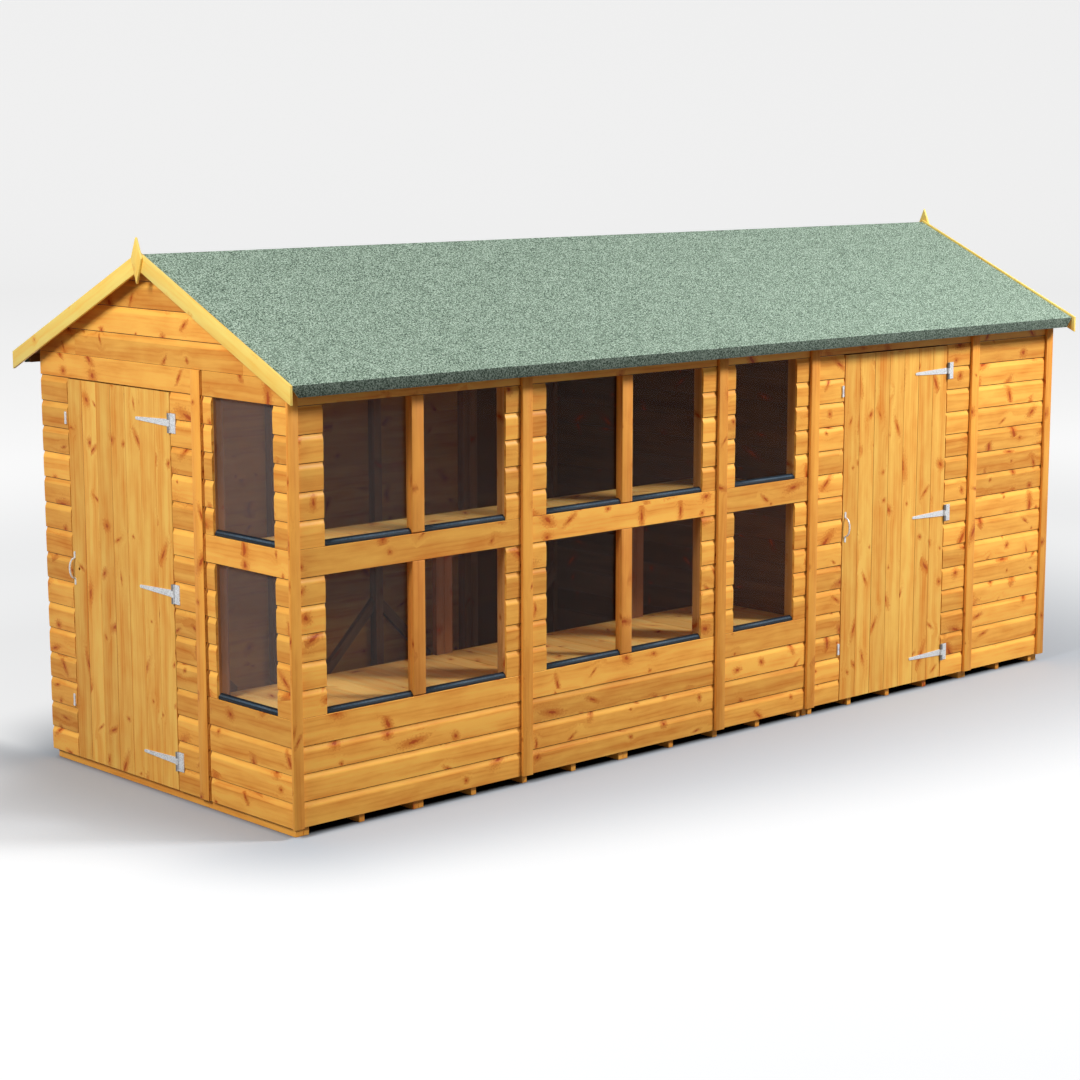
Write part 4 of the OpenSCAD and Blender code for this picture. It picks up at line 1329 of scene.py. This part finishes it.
@dataclass
class Roof:
    """Boarded slopes under felt, with fascias, bargeboards and finials."""

    board_w: float = 0.115
    edge: float = 0.0022
    felt_edge: float = 0.0024
    segments: int = 2
    slope_dot: float = 0.5
    slope_tone: float = 1.0
    eave_shade_tone: float = 0.38

    def slope_boards(self, node: str) -> None:
        """Cuts a slope into boards that run along the building.

        Args:
            node: The slope's node.
        """
        work = Joinery(node, cad_copy(node))
        block = around(work.mesh.verts)
        across = Side.RIGHT.run
        count = round(block.size.y / self.board_w)
        for k in range(1, count):
            line = across * (block.low.y + block.size.y * k / count)
            bmesh.ops.split_edges(work.mesh, edges=slice_mesh(work.mesh, line, across))
        bmesh.ops.holes_fill(work.mesh, edges=[edge for edge in work.mesh.edges if edge.is_boundary])
        face_out(work.mesh)
        soften(work.mesh, sharp_edges(work.mesh), self.edge)
        work.grow_grain(Side.FRONT.run)
        piece(f"{node}_planks", work.mesh, SHADED_INNER_PINE, node)

    def felt(self, node: str) -> None:
        """Dresses the felt of a slope, with painted shade down the eave face.

        Args:
            node: The felt's node.
        """
        mesh = cad_copy(node)
        soften(mesh, sharp_edges(mesh), self.felt_edge, self.segments)
        mesh.normal_update()
        # Painted shade on the eave faces.
        tones = (self.eave_shade_tone, self.slope_tone)
        set_tones(mesh, lambda face: tones[abs(face.normal.z) > self.slope_dot])
        piece(f"{node}_sheet", mesh, FELT, node)

    def build(self) -> None:
        """Dresses the roof."""
        for node in ("roof_boards_front", "roof_boards_rear"):
            self.slope_boards(node)
        for node in ("roof_felt_front", "roof_felt_rear"):
            self.felt(node)
        timber("eave_fascias", SHADED_INNER_PINE)
        timber("roof_purlins", SHADED_INNER_PINE, edge=self.edge)
        for node in ("bargeboards", "finials"):
            timber(node, BARGE_PINE, edge=self.edge, segments=self.segments)


# Doors


@dataclass
class Screws:
    """Domed screw heads on ironwork."""

    radius: float = 0.0036
    height: float = 0.0014
    segments: int = 12
    top: float = 0.72
    rim: float = 0.34
    dip: float = 0.35

    def drive(self, mesh: BMesh, side: Side, spot: Vector) -> None:
        """Drives a screw into a wall or leaf.

        Args:
            mesh: The ironwork's mesh.
            side: The wall that it is on.
            spot: Foot of its head, in the wall's own directions.
        """
        place = side.matrix @ Matrix.Translation(spot) @ OUTWARD
        made = bmesh.ops.create_cone(
            mesh, cap_ends=True, segments=self.segments, radius1=self.radius, radius2=self.radius * self.top,
            depth=self.height, matrix=place @ Matrix.Translation(UP * self.height / 2))
        crown = max((face for vert in made["verts"] for face in vert.link_faces),
                    key=lambda face: (face.calc_center_median() - place.translation).length)
        bmesh.ops.inset_region(mesh, faces=[crown], thickness=self.radius * self.rim,
                               depth=-self.height * self.dip)


@dataclass
class Door:
    """A ledged leaf of boards with its straps and bow handle."""

    name: str
    body: Body
    side: Side
    boards: int = 7
    joint: float = 0.0004
    chamfer: float = 0.0016
    bevel_dot: Pair = (0.3, 0.9)
    joint_tone: float = -0.7
    bore_inset: float = 0.001
    bore_segments: int = 24
    bore_reach: float = 0.6
    bore_shade_tone: float = -2.4
    ledge_edge: float = 0.002
    iron_edge: float = 0.0006
    strap_t: float = 0.0033
    strap_screws: tuple[float, ...] = (0.1, 0.36, 0.62, 0.88)
    bar: float = 0.0042
    bar_segments: int = 10
    bar_sink: float = 0.6
    bow_power: float = 0.4
    lean_power: int = 5
    stations: int = 18
    foot: float = 0.016
    foot_t: float = 0.003
    foot_inset: float = 1.8
    foot_w: float = 1.3
    foot_length: float = 0.95
    foot_round: float = 1.1
    foot_segments: int = 4
    screws: Screws = field(default_factory=Screws)

    def bored_board(self, mesh: BMesh, block: Block, bore: Block) -> None:
        """Adds a board with a keyhole through it.

        Args:
            mesh: The mesh to add to.
            block: The board's box.
            bore: The box around the bore.
        """
        low, high = block.low, block.high
        corners = [mesh.verts.new((x, low.y, z)) for x, z in
                   ((low.x, low.z), (high.x, low.z), (high.x, high.z), (low.x, high.z))]
        rim = [mesh.edges.new((corners[k], corners[k - 1])) for k in range(len(corners))]
        place = Matrix.Translation((bore.middle.x, low.y, bore.middle.z)) @ OUTWARD
        ring = bmesh.ops.create_circle(mesh, segments=self.bore_segments, radius=bore.size.x / 2,
                                       matrix=place)["verts"]
        made = bmesh.ops.triangle_fill(mesh, use_beauty=True, edges=rim + edges_at(ring))
        thicken(mesh, only(made["geom"], BMFace), (0.0, block.size.y, 0.0), keep=True)

    def leaf(self) -> None:
        """Builds the leaf from V-jointed boards."""
        node = f"{self.name}_leaf"
        copy = cad_copy(node)
        copy.transform(self.side.matrix.inverted())
        block = around(copy.verts)
        bore = around(vert for vert in copy.verts
                      if block.low.x + self.bore_inset < vert.co.x < block.high.x - self.bore_inset)
        copy.free()
        work = Joinery(node)
        for board in block.boards(0, self.boards, self.joint):
            if board.low.x < bore.middle.x < board.high.x:
                self.bored_board(work.mesh, board, bore)
            else:
                add_box(work.mesh, board)
        face_out(work.mesh)
        tall = [edge for edge in sharp_edges(work.mesh) if edge.calc_length() > block.size.z / 2]
        soften(work.mesh, tall, self.chamfer)
        bmesh.ops.transform(work.mesh, matrix=self.side.matrix, verts=work.mesh.verts)
        work.grow_grain(UP)
        least, most = self.bevel_dot
        bevels = [face for face in work.mesh.faces if least < abs(face.normal.dot(self.side.run)) < most
                  and face.calc_area() > self.chamfer * block.size.z / 2]
        work.tint(bevels, self.joint_tone)
        # Painted shade on the lining of the keyhole.
        eye = self.side.matrix @ bore.middle
        lining = [face for face in work.mesh.faces if face.calc_area() < bore.size.x * block.size.y
                  and (face.calc_center_median() - eye).length < bore.size.x * self.bore_reach]
        work.tint(lining, self.bore_shade_tone)
        piece(f"{self.name}_boards", work.mesh, DOOR_PINE, node, self.body)

    def bow(self, mesh: BMesh, block: Block) -> None:
        """Adds the round bow of a handle, in the wall's own directions.

        Args:
            mesh: The ironwork's mesh.
            block: The box of the handle's CAD solid.
        """
        sink = self.bar * self.bar_sink
        out = block.size.y - self.bar - sink
        reach = block.size.z / 2 - self.foot * self.foot_inset
        rings = []
        for k in range(self.stations + 1):
            turn = math.pi * k / self.stations
            spot = (block.middle.x, block.high.y - sink - out * math.sin(turn) ** self.bow_power,
                    block.middle.z + reach * (2 * k / self.stations - 1))
            lean = math.pi / 2 * math.cos(turn) ** self.lean_power
            place = Matrix.Translation(spot) @ Matrix.Rotation(lean, 4, "X")
            made = bmesh.ops.create_circle(mesh, segments=self.bar_segments, radius=self.bar, matrix=place)
            rings.append(edges_at(made["verts"]))
        for below, above in zip(rings, rings[1:]):
            bmesh.ops.bridge_loops(mesh, edges=below + above)
        bmesh.ops.holes_fill(mesh, edges=rings[0] + rings[-1])

    def feet(self, mesh: BMesh, block: Block) -> None:
        """Adds the two rounded feet of a handle, in the wall's own directions.

        Args:
            mesh: The ironwork's mesh.
            block: The box of the handle's CAD solid.
        """
        wide, tall = self.bar * self.foot_w, self.foot * self.foot_length
        pad = block.between(0, block.middle.x - wide, block.middle.x + wide)
        pad = pad.between(1, block.high.y - self.foot_t, block.high.y)
        for sign in (-1.0, 1.0):
            middle = block.middle.z + sign * (block.size.z / 2 - self.foot)
            verts = add_box(mesh, pad.between(2, middle - tall, middle + tall))
            corners = [edge for edge in edges_at(verts) if edge.calc_length() < wide]
            soften(mesh, corners, self.bar * self.foot_round, self.foot_segments)

    def ironwork(self) -> None:
        """Dresses the straps with screws and shapes the bow handle."""
        node = f"{self.name}_ironwork"
        mesh = cad_copy(node)
        mesh.transform(self.side.matrix.inverted())
        groups = sorted(islands(mesh), key=lambda group: around(group).size.x)
        handle, *straps = [around(group) for group in groups]
        bmesh.ops.delete(mesh, geom=groups[0], context="VERTS")
        soften(mesh, sharp_edges(mesh), self.iron_edge)
        self.bow(mesh, handle)
        self.feet(mesh, handle)
        mesh.transform(self.side.matrix)
        face_y = Block(*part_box(f"{self.name}_leaf")).on(self.side).low.y
        for strap in straps:
            for share in self.strap_screws:
                spot = Vector((strap.low.x + strap.size.x * share, face_y - self.strap_t, strap.middle.z))
                self.screws.drive(mesh, self.side, spot)
        face_out(mesh)
        set_tones(mesh, lambda face: 1.0)
        piece(f"{self.name}_straps", mesh, ZINC, node, self.body)

    def build(self) -> None:
        """Builds the leaf, its ledges and its ironwork."""
        self.leaf()
        timber(f"{self.name}_ledges", SHADED_INNER_PINE, self.body, edge=self.ledge_edge)
        self.ironwork()


@dataclass
class WallIrons:
    """Hinge plates and turn buttons on the walls."""

    edge: float = 0.0006
    plate_t: float = 0.0033
    plate_least: Pair = (0.02, 0.05)
    screw_rows: tuple[float, ...] = (0.14, 0.38, 0.62, 0.86)
    screw_column: float = 0.68
    barrel_w: float = 0.0125
    barrel_shade_tone: float = 0.3
    button_waist: float = 0.6
    button_w: float = 0.6
    button_power: float = 0.6
    button_edge: float = 0.0008
    button_points: int = 36
    button_screw: float = 0.0002
    screws: Screws = field(default_factory=Screws)

    def __post_init__(self) -> None:
        """Reads where the front's frame starts."""
        self.front_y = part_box("front_frame")[0].y

    def side_of(self, block: Block) -> Side:
        """The wall that a piece of ironwork is on."""
        return Side.FRONT if block.middle.y < self.front_y else Side.LEFT

    def plate_tone(self, blocks: Sequence[Block]) -> Callable[[BMFace], float]:
        """Makes the rule for the tones of the plates, whose knuckles get painted shade.

        Args:
            blocks: The boxes around the plates.
        Returns:
            A function from a face to its tone.
        """
        strips = []
        for block in blocks:
            side = self.side_of(block)
            strips.append((block.middle, side.matrix.inverted(), block.on(side).low.x + self.barrel_w))

        def tone(face: BMFace) -> float:
            """Gives a face the tone of its place on the nearest plate.

            Args:
                face: The face.
            Returns:
                The tone.
            """
            spot = face.calc_center_median()
            _, turn, limit = min(strips, key=lambda strip: (strip[0] - spot).length)
            # Painted shade on the knuckles.
            return self.barrel_shade_tone if (turn @ spot).x < limit else 1.0

        return tone

    def plates(self) -> None:
        """Dresses the hinge plates with screws."""
        mesh = cad_copy("hinge_plates")
        blocks = [around(group) for group in islands(mesh)]
        soften(mesh, sharp_edges(mesh), self.edge)
        wide, tall = self.plate_least
        for block in (block for block in blocks if block.size.z > tall and max(block.size.xy) > wide):
            side = self.side_of(block)
            own = block.on(side)
            for row in self.screw_rows:
                spot = Vector((own.low.x + own.size.x * self.screw_column, own.high.y - self.plate_t,
                               own.low.z + own.size.z * row))
                self.screws.drive(mesh, side, spot)
        face_out(mesh)
        set_tones(mesh, self.plate_tone(blocks))
        piece("hinge_plates_dressed", mesh, ZINC, "hinge_plates")

    def button_outline(self, own: Block) -> list[Pair]:
        """Draws a turn button with its two lobes.

        Args:
            own: The button's box in its wall's own directions.
        Returns:
            The outline as pairs along the run and up.
        """
        outline = []
        for k in range(self.button_points):
            turn = math.tau * (k + 0.5) / self.button_points
            swell = self.button_waist + 2.0 * (1.0 - self.button_waist) * math.cos(turn) ** 2
            wide = math.copysign(abs(math.sin(turn)) ** self.button_power, math.sin(turn)) * swell
            outline.append((own.middle.x + own.size.x * wide * self.button_w,
                            own.middle.z + own.size.z / 2 * math.cos(turn)))
        return outline

    def buttons(self) -> None:
        """Shapes the turn buttons: plates with two lobes on a screw."""
        mesh = bmesh.new()
        swap_axes = Matrix(((0, 1, 0, 0), (1, 0, 0, 0), (0, 0, 1, 0), (0, 0, 0, 1)))
        spots = []
        for block in solids("turn_buttons"):
            side = self.side_of(block)
            own = block.on(side)
            before = len(mesh.verts)
            add_prism(mesh, self.button_outline(own), own.low.y, own.high.y)
            mesh.verts.ensure_lookup_table()
            bmesh.ops.transform(mesh, matrix=side.matrix @ swap_axes, verts=mesh.verts[before:])
            spots.append((side, Vector((own.middle.x, own.low.y + self.button_screw, own.middle.z))))
        face_out(mesh)
        soften(mesh, sharp_edges(mesh), self.button_edge)
        for side, spot in spots:
            self.screws.drive(mesh, side, spot)
        face_out(mesh)
        set_tones(mesh, lambda face: 1.0)
        piece("turn_buttons_dressed", mesh, ZINC, "turn_buttons")

    def build(self) -> None:
        """Dresses the ironwork of the walls."""
        self.plates()
        self.buttons()


# Studio


@dataclass
class PhotoCamera:
    """The camera, at the photograph's viewing angle."""

    place: Triple = (-7.91826, -8.28513, 2.71514)
    yaw: float = 42.5702
    pitch: float = -9.5190
    roll: float = 0.0523
    focal_px: float = 2459.17
    image_px: float = 1080.0
    sensor: float = 36.0
    reach: float = 400.0

    @property
    def forward(self) -> Vector:
        """The level direction in which the camera looks."""
        return Vector((math.sin(math.radians(self.yaw)), math.cos(math.radians(self.yaw)), 0.0))

    def build(self) -> None:
        """Places the camera."""
        data = bpy.data.cameras.new("photo_camera")
        data.sensor_width = self.sensor
        data.lens = self.focal_px / self.image_px * self.sensor
        data.clip_end = self.reach
        tilt = math.radians(self.pitch)
        ahead = self.forward * math.cos(tilt) + UP * math.sin(tilt)
        right = ahead.cross(UP).normalized()
        turn = Matrix((right, right.cross(ahead), -ahead)).transposed()
        turn = turn @ Matrix.Rotation(math.radians(-self.roll), 3, "Z")
        made = put("photo_camera", data)
        made.matrix_world = Matrix.Translation(self.place) @ turn.to_4x4()
        bpy.context.scene.camera = made


@dataclass(frozen=True)
class Lamp:
    """A large soft lamp: its power in watts, the width of its square, its place and its aim."""

    name: str
    power: float
    size: float
    source: Triple
    aim: Triple = (0.0, 0.0, 1.2)

    def build(self) -> None:
        """Places the lamp."""
        data = bpy.data.lights.new(self.name, "AREA")
        data.energy = self.power
        data.size = self.size
        turn = (Vector(self.source) - Vector(self.aim)).to_track_quat("Z", "Y").to_matrix().to_4x4()
        put(self.name, data).matrix_world = Matrix.Translation(self.source) @ turn


@dataclass
class Studio:
    """A pale floor that sweeps up to a backdrop, two large soft lamps and an even sky."""

    camera: PhotoCamera
    near: float = 40.0
    far: float = 30.0
    half_width: float = 60.0
    sweep: float = 10.0
    height: float = 30.0
    sweep_steps: int = 16
    sky: float = 0.25
    lamps: tuple[Lamp, ...] = (Lamp("key_lamp", 635.0, 1.7, (4.0, -6.0, 6.1)),
                               Lamp("side_lamp", 325.0, 2.0, (-7.5, -1.4, 4.9)))

    def backdrop(self) -> None:
        """Sweeps the floor up into the backdrop."""
        mesh = bmesh.new()
        ahead, right = self.camera.forward, self.camera.forward.cross(UP)
        spot = -ahead * self.near
        ends = [mesh.verts.new(spot + right * self.half_width * sign) for sign in (-1.0, 1.0)]
        edges = [mesh.edges.new(ends)]
        path = [ahead * self.far]
        for k in range(1, self.sweep_steps + 1):
            turn = math.pi / 2 * k / self.sweep_steps
            path.append(ahead * (self.far + self.sweep * math.sin(turn))
                        + UP * self.sweep * (1 - math.cos(turn)))
        path.append(path[-1] + UP * self.height)
        for target in path:
            grown = bmesh.ops.extrude_edge_only(mesh, edges=edges)["geom"]
            bmesh.ops.translate(mesh, verts=only(grown, BMVert), vec=target - spot)
            edges, spot = only(grown, BMEdge), target
        face_out(mesh)
        show("studio_floor", mesh, PAPER.material())

    def build(self) -> None:
        """Sets up the camera, floor, lamps and sky."""
        self.camera.build()
        self.backdrop()
        for lamp in self.lamps:
            lamp.build()
        world = bpy.data.worlds.new("studio_sky")
        world.use_nodes = True
        shade = world.node_tree.nodes["Background"].inputs["Color"]
        shade.default_value = (self.sky, self.sky, self.sky, 1.0)
        bpy.context.scene.world = world
        bpy.context.scene.view_settings.view_transform = "Standard"


def main() -> None:
    """Builds the studio and the shed."""
    logging.basicConfig(level=logging.INFO, format="%(message)s")
    Studio(PhotoCamera()).build()
    doors = (Door("left_door", Body.LEFT_DOOR, Side.LEFT), Door("front_door", Body.FRONT_DOOR, Side.FRONT))
    for part in (Cladding(), WallFrames(), Trims(), Glazing(), Base(), Shelving(), Roof(), *doors,
                 WallIrons()):
        LOG.info("building %s", type(part).__name__)
        part.build()


if __name__ == "__main__":
    main()
